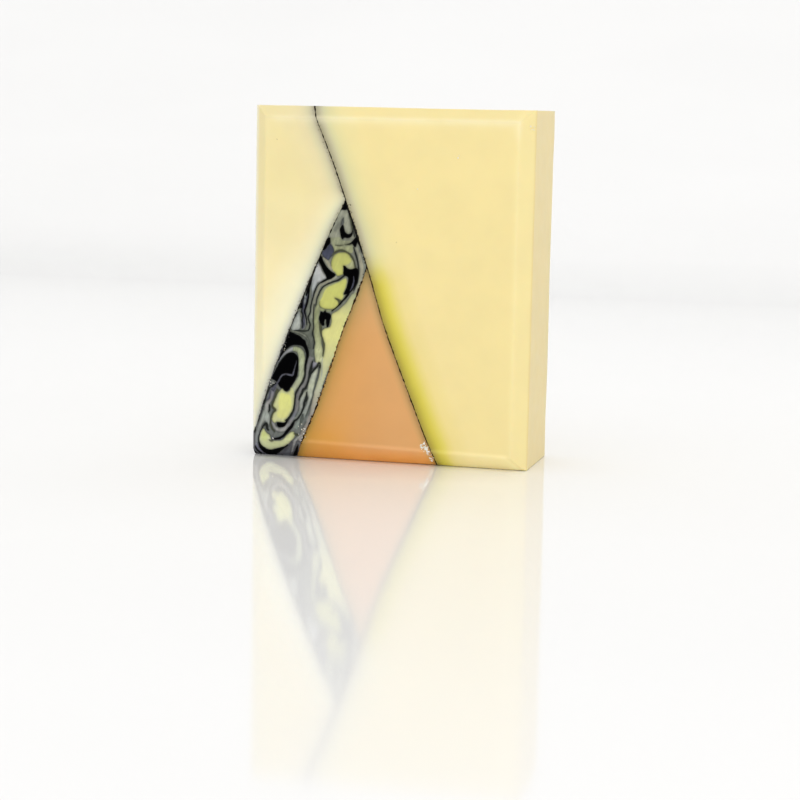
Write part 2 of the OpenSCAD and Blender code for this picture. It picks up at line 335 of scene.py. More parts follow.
        "ash", [0.8, 0.9, 0.8, 0.7, 0.9, 1, 1.2, 1.3, 1.1, 0.9, 0.8, 0.7, 0.6], (-25.8, 16.1), (-26.2, 15.2),
        (-26.4, 14.2),
        (-26.7, 13.3), (-27.4, 12.4), (-27.6, 11.3), (-27.8, 10.2), (-28.2, 9.2), (-28.9, 8), (-29.5, 7),
        (-30, 5.9),
        (-30.4, 4.7), (-30.6, 3.2),
    ),
    area("ash", (-28.3, 10.8), (-27.5, 10.6), (-26.9, 9.9), (-26.8, 8.8), (-27, 7.6), (-27.2, 7), (-27.6, 8),
    (-28.4, 8.6), (-28.8, 9.4)),
    stroke("dark", [0.2, 0.45, 0.4, 0.15], (-27, 12.2), (-26.95, 11.5), (-27, 10.9), (-27.2, 10.4)),
    stroke("slate", [0.2, 0.4, 0.4, 0.3, 0.2], (-26.9, 15.4), (-27, 14.4), (-27.15, 13.8), (-27.5, 13.3),
    (-27.9, 13)),
    stroke(
        "dark", [0.5, 0.5, 0.35, 0.5, 0.45, 0.5, 0.55, 0.7, 0.8, 0.9, 1, 1], (-26.9, 16.2), (-27.4, 15.2),
        (-27.8, 14.3),
        (-28.1, 13), (-28.5, 12), (-28.8, 11), (-29.2, 10), (-29.7, 9), (-30.3, 8), (-30.9, 7), (-31.2, 6),
        (-31.6, 5),
    ),
    # the third island
    area(
        "yellow", (-24.95, 15), (-24.4, 15.6), (-23.95, 15.85), (-23.5, 15.4), (-22.9, 15.2), (-22.3, 15.6),
        (-21.9, 16.3),
        (-21.3, 15.4), (-21.15, 14), (-21.2, 12.6), (-21.4, 11.4), (-21.8, 10.4), (-22.4, 9.4), (-23, 8.6),
        (-23.6, 8.3),
        (-25.1, 8.3), (-25.7, 8), (-26.2, 8.4), (-26.4, 9.2), (-26.1, 10.1), (-25.6, 10.7), (-25.35, 10.95),
        (-25.75, 11.3), (-26.1, 12), (-25.8, 13), (-25.35, 14),
    ),
    area(
        "core", (-24.3, 14.9), (-23.2, 14.8), (-22.3, 14.6), (-21.9, 13.5), (-21.9, 12), (-22.2, 10.8),
        (-22.9, 9.6),
        (-23.9, 9.1), (-25, 9.4), (-25.2, 10.2), (-24.8, 11.2), (-24.9, 12.6), (-24.7, 14),
    ),
    stroke(
        "olive", [0.7, 0.5, 0.4, 0.35, 0.4, 0.4, 0.4, 0.5, 0.3, 0.3, 0.3, 0.35, 0.3, 0.3, 0.2], (-24.9, 15.6),
        (-25.3, 15),
        (-25.5, 14.3), (-25.8, 13.5), (-26.1, 12.8), (-26.35, 12), (-26.1, 11.5), (-25.6, 11), (-26, 10.5),
        (-26.35, 9.9),
        (-26.55, 9), (-26.65, 8.3), (-26.55, 7.5), (-26.2, 6.6), (-25.6, 6),
    ),
    # the fourth island, with the hook over it
    area(
        "yellow", (-28.3, 6.6), (-27.9, 6.2), (-27.4, 5.6), (-26.85, 5.2), (-26.6, 4.6), (-26.4, 3.95),
        (-25, 3.95),
        (-23.95, 4.2), (-23.2, 4.9), (-22.6, 5.6), (-22, 6.1), (-21.3, 6.3), (-20.9, 5.7), (-21.1, 4.9),
        (-21.8, 4),
        (-22.6, 3.3), (-23.4, 2.8), (-23.9, 2.5), (-25, 2.1), (-26.1, 1.8), (-26.8, 1.5), (-27.6, 1.4),
        (-28.4, 1.6),
        (-28.95, 2), (-29.35, 2.8), (-29.5, 4), (-29.3, 5), (-28.9, 5.9),
    ),
    area("core", (-28.2, 5.9), (-27.4, 5.1), (-27.4, 4.2), (-28.1, 3.6), (-28.8, 4.2), (-28.8, 5.2)),
    stroke("olive", 0.35, (-27, 4.05), (-26.6, 3.8), (-26.1, 3.9)),
    stroke("olive", [0.2, 0.5, 0.3], (-21.1, 5.9), (-20.6, 5.65), (-20.1, 5.5)),
    stroke(
        "dark", [0.25, 0.3, 0.3, 0.35, 0.45, 0.5, 0.5, 0.6], (-27.9, 7.7), (-28.5, 7), (-29, 6.2), (-29.6, 5),
        (-29.85, 4),
        (-29.7, 3), (-29.3, 2.1), (-28.7, 1.5),
    ),
    stroke("dark", [0.3, 0.65, 0.65, 0.5, 0.3], (-28.2, 7.3), (-27.75, 7.75), (-27.5, 7.3), (-27.45, 6.7),
    (-27.1, 6.2)),
    # the corner and the bands along the base
    area("mid", (-32.4, 5.2), (-31.2, 5.2), (-31, 4), (-31, 2), (-31.3, 1.2), (-32.4, 1)),
    stroke("slate", [0.3, 0.6, 0.7, 0.6, 0.4, 0.3], (-30.6, 3), (-30.5, 2), (-30.2, 1.2), (-29.7, 0.6),
    (-28.8, 0.2), (-27.6, 0)),
    stroke("black", [0.2, 0.4, 0.5, 0.5], (-30.95, 2.2), (-30.85, 1.4), (-30.5, 0.7), (-29.9, 0.15)),
    area("black", (-32.2, 0.9), (-31.6, 0.8), (-31.1, 0.3), (-31, -0.4), (-32.3, -0.4)),
    stroke("mid", [0.5, 0.6, 0.6, 0.5, 0.4], (-25.4, 0.1), (-24.5, 0.9), (-23.6, 1.8), (-22.7, 2.7),
    (-21.6, 4)),
    stroke("light", [0.12, 0.45, 0.6, 0.6, 0.2], (-22.9, 0.4), (-22.2, 1.6), (-21.4, 3.2), (-20.5, 4.7),
    (-19.6, 5.6)),
    stroke("black", [0.6, 0.8, 0.5, 0.1], (-22.2, 0), (-21.6, 0.9), (-21, 2), (-20.4, 3.2)),
    # black, from the tip down
    area("black", (-10.2, 60), (-8.4, 57.8), (-9.2, 56.9), (-9.7, 56.5), (-10.3, 56.4), (-11.6, 56.9)),
    stroke(
        "black", [0.5, 0.35, 0.3, 0.45, 0.25, 0.3, 0.5, 0.25, 0.1], (-9.8, 57.4), (-9.2, 55.9), (-8.6, 54.5),
        (-8.15, 53), (-7.75, 51.8), (-7.4, 50.8), (-6.95, 49.6), (-6.5, 48.4), (-6, 47),
    ),
    area(
        "black", (-10.4, 53), (-10.9, 52.8), (-11.2, 51.9), (-11, 50.7), (-10.6, 49.9), (-10.1, 50.3),
        (-9.3, 50.2),
        (-8.6, 50.5), (-8.3, 51.2), (-8.35, 51.9), (-8.7, 51.3), (-9.3, 51.05), (-9.9, 51.3), (-10.2, 52),
    ),
    stroke("dark", 0.25, (-8.3, 52.6), (-8, 51.3), (-7.7, 50.3)),
    area(
        "black", (-9.6, 48.8), (-8.8, 49.1), (-8.2, 49.6), (-7.7, 50.2), (-7.3, 50.4), (-7.1, 49.6),
        (-7.3, 48.8),
        (-7.7, 48.2), (-8, 48.5), (-8.3, 48.95), (-8.9, 48.85),
    ),
    area("black", (-13.4, 50.1), (-13.4, 49), (-14, 48.2), (-14.6, 47.4), (-15.3, 47.5), (-14.9, 48.6),
    (-14.2, 49.8)),
    area(
        "black", (-16.3, 45.4), (-15.9, 46.3), (-15.3, 45.9), (-14.9, 44.9), (-14.3, 43.9), (-13.6, 43.1),
        (-12.9, 42.6),
        (-12.1, 42.1), (-12.2, 41.7), (-12.9, 41.1), (-13.7, 40.8), (-14.6, 40.35), (-15.4, 40), (-15.5, 40.2),
        (-14.7, 40.7), (-14.1, 41.2), (-14.6, 42.2), (-15.3, 43.6), (-15.9, 44.7),
    ),
    area(
        "black", (-10.3, 44), (-9.8, 43.9), (-9.3, 43.4), (-8.4, 43.3), (-7.2, 43.6), (-6.8, 42.8),
        (-6.9, 41.4),
        (-7.3, 40), (-8.2, 38.6), (-8.9, 37.8), (-9.5, 37.7), (-10.1, 37.6),
        (-9.9, 38.3), (-9.5, 39.2), (-9.2, 40.2), (-9.1, 41.2), (-9.4, 41.7), (-10, 41.9), (-10.3, 42.4),
        (-10.2, 43.2),
    ),
    stroke("slate", [0.15, 0.35, 0.4, 0.2], (-7.9, 41.8), (-7.8, 40.8), (-8.1, 39.6), (-8.7, 38.5)),
    stroke("black", [0.4, 0.4, 0.3, 0.25, 0.2], (-8.9, 37.9), (-9.6, 37), (-10.5, 36), (-11.3, 35.1),
    (-12.8, 33.8)),
    stroke("black", [0.3, 0.7, 0.6, 0.5, 0.2], (-17.5, 41.2), (-17.9, 40), (-18.2, 38.9), (-18.5, 37.8),
    (-18.8, 37)),
    stroke(
        "black", [0.25, 0.3, 0.35, 0.4, 0.35, 0.3, 0.2, 0.15], (-18, 39.6), (-18.1, 38), (-18.3, 36.4),
        (-18.7, 34.8),
        (-19.05, 33.5), (-18.8, 32.5), (-18.6, 31.5), (-18.5, 30.5),
    ),
    area("black", (-19.2, 36.9), (-19.5, 35.6), (-19.5, 34.4), (-20.2, 34.3), (-20.2, 35.4), (-19.8, 36.4)),
    area(
        "black", (-15.3, 33.7), (-14.7, 33.5), (-14.3, 34), (-14, 33.5), (-13.2, 33.2), (-12.95, 32.5),
        (-13.2, 31.6),
        (-13.4, 30.5), (-13.8, 30.2), (-14, 31), (-14.1, 31.9), (-14.4, 31.8), (-14.5, 30.8), (-14.8, 30.5),
        (-15.3, 31), (-15.7, 32), (-15.5, 33),
    ),
    # the arch over the loop, and its thin tail
    area(
        "black", (-23, 28.6), (-22, 28.7), (-21, 28.3), (-20.2, 28), (-19.4, 27.4), (-18.8, 26.9),
        (-18.5, 26.1),
        (-18.1, 25.1), (-17.9, 24), (-18.1, 22.8), (-18.4, 21.6), (-18.5, 20.4), (-18.8, 19), (-18.95, 20.5),
        (-18.8, 22), (-18.5, 23.4), (-18.7, 24.5), (-19.1, 25.4), (-19.7, 25.8), (-20.6, 25.9), (-21.4, 25.85),
        (-22.2, 25.6), (-22.9, 25.1), (-23.6, 24.3), (-24.3, 23.3), (-25, 22.1), (-25.4, 22.6), (-24.6, 25.6),
    ),
    stroke(
        "dark", [0.3, 0.4, 0.45, 0.45, 0.4, 0.35, 0.35, 0.35, 0.35, 0.4, 0.45, 0.5, 0.6], (-18.6, 21.5),
        (-18.7, 20),
        (-18.8, 19), (-19.15, 18), (-19.75, 17), (-20.3, 16), (-20.8, 15), (-21, 14), (-21.1, 12.8),
        (-21.25, 11.6),
        (-21.7, 10.4), (-22.4, 9.3), (-23.1, 8.5),
    ),
    # the oval, with a slate strand across it
    area(
        "black", (-23.6, 23.2), (-22.8, 23.9), (-22, 24.15), (-21.2, 24), (-20.6, 23.5), (-20.35, 22.6),
        (-20.3, 21),
        (-20.45, 19.8), (-20.7, 18.8), (-21.2, 17.6), (-21.9, 16.6), (-22.4, 15.8), (-22.9, 15.4),
        (-23.4, 15.4),
        (-23.8, 15.9), (-24.3, 16), (-24.7, 16.4), (-25.2, 17.2), (-25.8, 17.7), (-26.5, 18.2), (-25.9, 19.6),
        (-25.2, 20.8), (-24.6, 22),
    ),
    stroke(
        "slate", [0.9, 0.6, 0.45, 0.4, 0.4, 0.4, 0.5, 0.5, 0.4, 0.3, 0.2, 0.1], (-26.4, 15.4), (-25.6, 16.6),
        (-25, 17.4),
        (-24.6, 18.2), (-24.1, 18.9), (-23.3, 19.2), (-22.4, 19.1), (-21.7, 19.1), (-21.4, 19.7), (-21.2, 20.6),
        (-20.9, 21.6), (-20.8, 22.4),
    ),
    stroke("dark", [0.3, 0.35, 0.3], (-25.6, 17.1), (-26.1, 16.6), (-26.6, 16.1)),
    # the cup under the third island, the long curve below it, and the keel of the fourth
    area(
        "black", (-25.2, 7.9), (-24.9, 8.2), (-24, 8.15), (-23.2, 8.3), (-22.6, 8.9), (-22.9, 8), (-23.4, 7.35),
        (-24.2, 7.1), (-24.9, 7.2),
    ),
    stroke(
        "black", [0.3, 0.5, 0.7, 0.7, 0.65, 0.6, 0.5, 0.5, 0.45, 0.3], (-21, 8.9), (-21.35, 8.2), (-21.8, 7.4),
        (-22.4, 6.7), (-22.9, 6.1), (-23.4, 5.4), (-24.1, 4.85), (-24.9, 4.5), (-25.5, 4.35), (-25.9, 4.5),
    ),
    stroke("dark", [0.2, 0.4, 0.3], (-20.5, 9.2), (-21, 8.8), (-21.4, 8.3)),
    area(
        "black", (-29.7, 3.2), (-29.4, 2.2), (-28.8, 1.6), (-27.9, 1.35), (-26.7, 1.45), (-26, 1.75),
        (-25, 2.05),
        (-23.9, 2.45), (-22.9, 3.1), (-23, 2.7), (-23.8, 2.1), (-24.8, 1.4), (-25.8, 0.6), (-26.8, 0.1),
        (-28.6, 0.1),
        (-29.4, 0.6), (-29.9, 1.5), (-30, 2.4),
    ),
]

# ---------------------------------------------------------------- curves


def smooth(points, closed, steps):
    """A smooth curve through the points, as an array."""
    p = np.array(points, float)
    count = len(p)
    out = []
    for i in range(count if closed else count - 1):
        b, c = p[i], p[(i + 1) % count]
        a = p[i - 1] if closed or i else b
        d = p[(i + 2) % count] if closed or i + 2 < count else c
        for k in range(steps):
            t = k / steps
            out.append(
                0.5 * (2 * b + (c - a) * t + (2 * a - 5 * b + 4 * c - d) * t**2 + (3 * b - a - 3 * c + d) * t**3)
            )
    if not closed:
        out.append(p[-1])
    return np.array(out)


def even(line, gap):
    """The same line with its points about gap apart."""
    lengths = np.linalg.norm(np.diff(line, axis=0), axis=1)
    along = np.concatenate([[0], np.cumsum(lengths)])
    places = np.linspace(0, along[-1], max(2, round(along[-1] / gap) + 1))
    return np.stack([np.interp(places, along, line[:, k]) for k in (0, 1)], axis=1)


def side_normals(line):
    """The unit normal of a line at each of its points."""
    ahead = np.gradient(line, axis=0)
    ahead /= np.linalg.norm(ahead, axis=1)[:, None] + 1e-9
    return np.stack([-ahead[:, 1], ahead[:, 0]], axis=1)


def ribbon(line, widths):
    """The outline of a band along a line."""
    offset = side_normals(line) * widths[:, None] / 2
    return np.vstack([line + offset, (line - offset)[::-1]])


def swirl_outline(swirl):
    """A swirl's outline, a little uneven as soap batter is."""
    if swirl["width"] is None:
        outline = smooth(swirl["points"], True, 5)
    else:
        line = smooth(swirl["points"], False, 5)
        t = np.linspace(0, 1, len(line))
        width = swirl["width"]
        if isinstance(width, list):
            widths = np.interp(t, np.linspace(0, 1, len(width)), width)
        else:
            widths = width * np.sqrt(np.clip(np.sin(math.pi * (0.02 + 0.96 * t)), 0, 1))
        outline = ribbon(line, widths)
    wobble = [noise.noise_vector(Vector((x * 1.3, 0, z * 1.3))) for x, z in outline]
    return outline + 0.07 * np.array([(w.x, w.z) for w in wobble])


def charcoal_band(seam, width, spread, seed):
    """The uneven outline of a charcoal line: its mean width, how much that varies, and where its noise starts."""
    line = even(smooth(seam, False, 12), 0.3)
    grain = np.array([noise.noise(Vector((seed, i * 0.37, 0))) for i in range(len(line))])
    drift = np.array([noise.noise(Vector((seed, i * 0.06, 5))) for i in range(len(line))])
    shift = np.array([noise.noise(Vector((seed, i * 0.21, 9))) for i in range(len(line))])
    widths = np.clip(width + spread * (grain + 0.8 * drift), 0.07, 0.6)
    return ribbon(line + side_normals(line) * 0.05 * shift[:, None], widths)


def inside(points, outline):
    """Which points lie inside an outline."""
    near = ((points >= outline.min(0)) & (points <= outline.max(0))).all(1)
    x, z = points[near].T
    hit = np.zeros(len(x), bool)
    for (x0, z0), (x1, z1) in zip(outline, np.roll(outline, -1, axis=0)):
        if z0 == z1:
            continue
        crossing = ((z0 > z) != (z1 > z)) & (x < (x1 - x0) * (z - z0) / (z1 - z0) + x0)
        hit ^= crossing
    out = np.zeros(len(points), bool)
    out[near] = hit
    return out


def distance(points, line, closed=False):
    """The distance from each point to a line."""
    ends = np.roll(line, -1, axis=0) if closed else line[1:]
    starts = line if closed else line[:-1]
    best = np.full(len(points), 1e9)
    for a, b in zip(starts, ends):
        ab = b - a
        t = np.clip(((points - a) @ ab) / max(ab @ ab, 1e-12), 0, 1)
        best = np.minimum(best, np.linalg.norm(points - a - t[:, None] * ab, axis=1))
    return best


# ---------------------------------------------------------------- cutting the face into triangles
FAR = 60
# Gaps between the mesh's points: on the plain face, near the edges, and in the marble
GAP_FACE, GAP_EDGE, GAP_MARBLE = 0.9, 0.3, 0.22
# How wide the border with the edge spacing is
BORDER = 5.2
# Extra rows next to the bar's outline, for its rounded edges
CLOSE_ROWS = (0, 0.12, 0.3, 0.6)

long_line = smooth(LONG_SEAM, False, 12)
left_line = smooth(LEFT_SEAM, False, 12)
middle_line = smooth(MIDDLE_SEAM, False, 12)
bands = {
    "charcoal_line_long": charcoal_band(LONG_SEAM, 0.21, 0.25, 3.1),
    "charcoal_line_left": charcoal_band(LEFT_SEAM, 0.24, 0.32, 17.7),
    "charcoal_line_middle": charcoal_band(MIDDLE_SEAM, 0.14, 0.5, 41.3),
}
swirl_outlines = [(swirl["colour"], swirl_outline(swirl)) for swirl in SWIRLS]
right_side = np.vstack([long_line, [(FAR, -FAR), (FAR, 2 * FAR)]])
foot_side = np.vstack([left_line, [(-FAR, -FAR), (FAR, -FAR), (FAR, MARBLE_TIP[1])]])
peach_side = np.vstack([middle_line, [(-20, -FAR), (FAR, -FAR), (FAR, PEACH_TIP[1])]])


def spaced(start, end, near_start, near_end):
    """Grid lines from start to end, closer together near both ends."""
    a = [start + r for r in CLOSE_ROWS] + list(np.arange(start + 1, start + near_start, GAP_EDGE))
    b = [end - r for r in CLOSE_ROWS] + list(np.arange(end - 1, end - near_end, -GAP_EDGE))
    middle = np.linspace(start + near_start, end - near_end, round((end - start - near_start - near_end) / GAP_FACE))
    return np.unique(np.round(np.concatenate([a, middle, b]), 4))


def in_marble(points):
    return inside(points, foot_side) & ~inside(points, right_side) & ~inside(points, peach_side)


def cut_face():
    """The drawing as triangles: their points, their corners, and the name of the piece that each belongs to."""
    xs = spaced(-HALF, HALF, 4, 4)
    zs = spaced(0, HEIGHT, BORDER, 4)
    fixed = []
    edges = []

    def add(outline, closed):
        start = len(fixed)
        fixed.extend(map(tuple, outline))
        last = len(fixed) - 1
        edges.extend((i, i + 1) for i in range(start, last))
        if closed:
            edges.append((last, start))

    border = (
        [(x, 0) for x in xs[:-1]] + [(HALF, z) for z in zs[:-1]]
        + [(x, HEIGHT) for x in xs[:0:-1]] + [(-HALF, z) for z in zs[:0:-1]]
    )
    add(border, True)
    for band in bands.values():
        add(band, True)
    for _, outline in swirl_outlines:
        add(outline, True)
    grid = np.array([(x, z) for x in xs[1:-1] for z in zs[1:-1]])
    grid = grid[~in_marble(grid)]
    fine_x = np.arange(-HALF + 0.2, -4, GAP_MARBLE)
    fine_z = np.arange(0.2, 59, GAP_MARBLE)
    fine = np.array([(x, z) for x in fine_x for z in fine_z])
    loose = np.vstack([grid, fine[in_marble(fine)]])
    taken = np.array(fixed)
    clear = np.ones(len(loose), bool)
    for start in range(0, len(loose), 500):
        chunk = loose[start:start + 500]
        gaps = ((chunk[:, None, :] - taken[None, :, :]) ** 2).sum(2).min(1)
        clear[start:start + 500] = gaps > 0.13**2
    points = [Vector(p) for p in fixed] + [Vector(p) for p in loose[clear]]
    flat, _, faces, _, _, _ = delaunay_2d_cdt(points, edges, [], 0, 1e-5)
    flat = np.array([tuple(v) for v in flat])
    faces = np.array([f for f in faces if len(f) == 3])
    a, b, c = flat[faces[:, 0]], flat[faces[:, 1]], flat[faces[:, 2]]
    turn = (b[:, 0] - a[:, 0]) * (c[:, 1] - a[:, 1]) - (b[:, 1] - a[:, 1]) * (c[:, 0] - a[:, 0])
    faces[turn < 0] = faces[turn < 0][:, ::-1]
    centre = (a + b + c) / 3
    on_bar = (abs(centre[:, 0]) < HALF) & (centre[:, 1] > 0) & (centre[:, 1] < HEIGHT) & (abs(turn) > 1e-7)
    faces, centre = faces[on_bar], centre[on_bar]
    return flat, faces, name_pieces(centre)


def swirl_names(points):
    """The marble colour at each point."""
    names = np.full(len(points), "grey", dtype=object)
    for colour, outline in swirl_outlines:
        names[inside(points, outline)] = colour
    return names


def name_pieces(centre):
    """The piece that each triangle belongs to, from its centre."""
    names = np.full(len(centre), "cream_side_pour", dtype=object)
    marble = in_marble(centre)
    names[marble] = swirl_names(centre[marble])
    names[inside(centre, foot_side) & inside(centre, peach_side)] = "peach_wedge"
    names[inside(centre, right_side)] = "cream_main_pour"
    for name in ("charcoal_line_middle", "charcoal_line_left", "charcoal_line_long"):
        names[inside(centre, bands[name])] = name
    return names


# ---------------------------------------------------------------- the bar's surface
# Where the rows of points lie between the front and the back
ROWS = np.array([0, 0.008, 0.022, 0.05, 0.12, 0.3, 0.5, 0.7, 0.88, 0.95, 0.978, 0.992, 1])
# Shallow dents in the decorated face: where, how wide and how deep
DENTS = [
    (30.4, 75.2, 0.9, 0.22), (6.2, 61.4, 0.5, 0.1), (15.2, 68.6, 0.6, 0.1), (17.2, 50.6, 0.4, 0.08),
    (8.6, 4.4, 0.9, 0.15), (-18.9, 5.6, 0.8, 0.12), (-26.2, 71.3, 0.4, 0.08),
]


def bar_planes():
    """The planes that bound the sharp bevelled bar, as unit normals and offsets."""
    taper = (BEVEL_BASE_LEFT - BEVEL_BASE_RIGHT) / WIDTH
    rows = [
        ((-1, 0, 0), (-HALF, 0, 0)), ((1, 0, 0), (HALF, 0, 0)),
        ((0, 0, -1), (0, 0, 0)), ((0, 0, 1), (0, 0, HEIGHT)),
        ((0, -1, 0), (0, FRONT, 0)), ((0, 1, 0), (0, BACK, 0)),
        ((0, -1, 1), (0, FRONT, HEIGHT - BEVEL_TOP)),
        ((-1, -1, 0), (BEVEL_LEFT - HALF, FRONT, 0)),
        ((1, -1, 0), (HALF - BEVEL_RIGHT, FRONT, 0)),
        ((-taper, -1, -1), (-HALF, FRONT, BEVEL_BASE_LEFT)),
        ((0, 1, 1), (0, BACK, HEIGHT - BEVEL_BACK)), ((0, 1, -1), (0, BACK, BEVEL_BACK)),
        ((-1, 1, 0), (BEVEL_BACK - HALF, BACK, 0)), ((1, 1, 0), (HALF - BEVEL_BACK, BACK, 0)),
    ]
    normals = np.array([n for n, _ in rows], float)
    normals /= np.linalg.norm(normals, axis=1)[:, None]
    return normals, np.array([n @ np.array(p) for n, (_, p) in zip(normals, rows)])


PLANE_NORMALS, PLANE_OFFSETS = bar_planes()


def reach(points):
    """How far points are outside the softly rounded bar, and which way is out."""
    d = points @ PLANE_NORMALS.T - PLANE_OFFSETS
    top = d.max(1, keepdims=True)
    weight = np.exp((d - top) * EDGE_SHARPNESS)
    total = weight.sum(1, keepdims=True)
    return top[:, 0] + np.log(total[:, 0]) / EDGE_SHARPNESS, (weight / total) @ PLANE_NORMALS


def ridge_highlight_weight(points):
    """Painted highlight along the rounded edge round the decorated face: 1 near the top, weaker lower down and at the
    left, 0 further away.
    """
    d = np.sort(points @ PLANE_NORMALS.T - PLANE_OFFSETS, axis=1)
    off_face = d[:, -1] + points[:, 1] - FRONT
    top = np.interp(points[:, 2], (HEIGHT - 8, HEIGHT - 3), (0, 1))
    painted_highlight = (0.18 + 0.82 * top) * np.interp(points[:, 0], (3 - HALF, 6 - HALF), (0.2, 1))
    return painted_highlight * np.exp(-(((d[:, -1] - d[:, -2]) / (0.45 + 0.5 * top)) ** 2) - (off_face / 0.5) ** 2)


def front_and_back(x, z):
    """The depth of the sharp bar's front and back at a place on its face."""
    base = BEVEL_BASE_LEFT + (BEVEL_BASE_RIGHT - BEVEL_BASE_LEFT) * (x + HALF) / WIDTH
    cut = np.maximum.reduce(
        [base - z, z - (HEIGHT - BEVEL_TOP), BEVEL_LEFT - HALF - x, x - (HALF - BEVEL_RIGHT), 0 * x]
    )
    back = np.maximum.reduce([BEVEL_BACK - z, z - (HEIGHT - BEVEL_BACK), abs(x) - (HALF - BEVEL_BACK), 0 * x])
    return FRONT + cut, BACK - back


def drift(x, z, s):
    """How far the pours have moved sideways and up at a share s of the way to the back."""
    wave_x = [noise.noise(Vector((a * 0.09, b * 0.07, c * 1.7 + 3))) for a, b, c in zip(x, z, s)]
    wave_z = [noise.noise(Vector((a * 0.1 + 20, b * 0.09, c * 1.7 + 8))) for a, b, c in zip(x, z, s)]
    hold_x = np.clip((HALF - abs(x)) / 6, 0, 1)
    hold_z = np.clip(np.minimum(z, HEIGHT - z) / 6, 0, 1)
    return 2.4 * s * hold_x * np.array(wave_x), 2.4 * s * hold_z * np.array(wave_z)


def unevenness(points):
    """How far the hand-cut surface lies inside the ideal one."""
    out = np.array([
        0.5 + 0.5 * noise.noise(p * 0.06) + 0.3 * noise.noise(p * 0.17 + Vector((9, 0, 4))) for p in map(Vector, points)
    ])
    return 0.14 * np.clip(out, 0, 1)


def surface(flat):
    """The place of every point of the drawing in every row, from the front to the back."""
    outline = (abs(flat[:, 0]) > HALF - 1e-4) | (flat[:, 1] < 1e-4) | (flat[:, 1] > HEIGHT - 1e-4)
    rows = []
    for s in ROWS:
        dx, dz = drift(flat[:, 0], flat[:, 1], np.full(len(flat), s))
        x, z = flat[:, 0] + dx, flat[:, 1] + dz
        front, back = front_and_back(x, z)
        points = np.stack([x, front + (back - front) * s, z], axis=1)
        skin = outline | (s in (0, 1))
        shown = points[skin]
        for _ in range(4):
            far, way = reach(shown)
            shown = shown - way * (far / (way**2).sum(1))[:, None]
        way /= np.linalg.norm(way, axis=1)[:, None]
        depth = unevenness(shown)
        if s == 0:
            for x0, z0, radius, deep in DENTS:
                depth += deep * np.exp(-(((shown[:, 0] - x0) ** 2 + (shown[:, 2] - z0) ** 2) / radius**2))
        points[skin] = shown - way * depth[:, None]
        rows.append(points)
    return np.array(rows), outline


# ---------------------------------------------------------------- solids
flat, triangles, piece_names = cut_face()
placed, on_outline = surface(flat)


def solid(name, chosen):
    """A closed solid for the chosen triangles: front, back, and the walls between them."""
    faces = triangles[chosen]
    edges = set()
    for a, b, c in faces:
        edges.update(((a, b), (b, c), (c, a)))
    walls = sorted(e for e in edges if (e[1], e[0]) not in edges)
    last = len(ROWS) - 1
    numbers = {}

    def number(point, row):
        return numbers.setdefault((point, row), len(numbers))

    polygons = [[number(p, 0) for p in f] for f in faces]
    polygons += [[number(p, last) for p in f[::-1]] for f in faces]
    for a, b in walls:
        for row in range(last):
            polygons.append([number(a, row), number(a, row + 1), number(b, row + 1), number(b, row)])
    point_ids = np.array([p for p, _ in numbers])
    row_ids = np.array([r for _, r in numbers])
    mesh = bpy.data.meshes.new(name)
    mesh.from_pydata((placed[row_ids, point_ids] * MM).tolist(), [], polygons)
    mesh.shade_smooth()
    mesh.set_sharp_from_angle(angle=math.radians(38))
    piece = bpy.data.objects.new(name, mesh)
    bpy.context.scene.collection.objects.link(piece)
    return piece, point_ids, placed[row_ids, point_ids]


def mark(piece, name, values):
    """Keeps a number at each point of a piece, for its material."""
    attribute = piece.data.attributes.new(name, "FLOAT", "POINT")
    attribute.data.foreach_set("value", values.astype(np.float32))


def mark_colour(piece, name, values):
    """Keeps a colour at each point of a piece, for its material."""
    attribute = piece.data.attributes.new(name, "FLOAT_COLOR", "POINT")
    attribute.data.foreach_set("color", np.column_stack([values, np.ones(len(values))]).astype(np.float32).ravel())


# ---------------------------------------------------------------- material tools


def linear(c):
    """A channel from 0 to 255, as the linear value that shaders use."""
    c = np.asarray(c) / 255
    return np.where(c > 0.0405, ((c + 0.055) / 1.055) ** 2.4, c / 12.92)


def rgb(red, green, blue):
    """A colour given as 0 to 255, for a shader."""
    return (*linear((red, green, blue)).tolist(), 1)


# Painted light and shade: how much the soap colour is lifted on the base bevel, and darkened on the top one
BASE_BEVEL_LIGHT, TOP_BEVEL_SHADE = (1.13, 1.14, 1.28, 1), (0.95, 0.95, 0.95, 1)


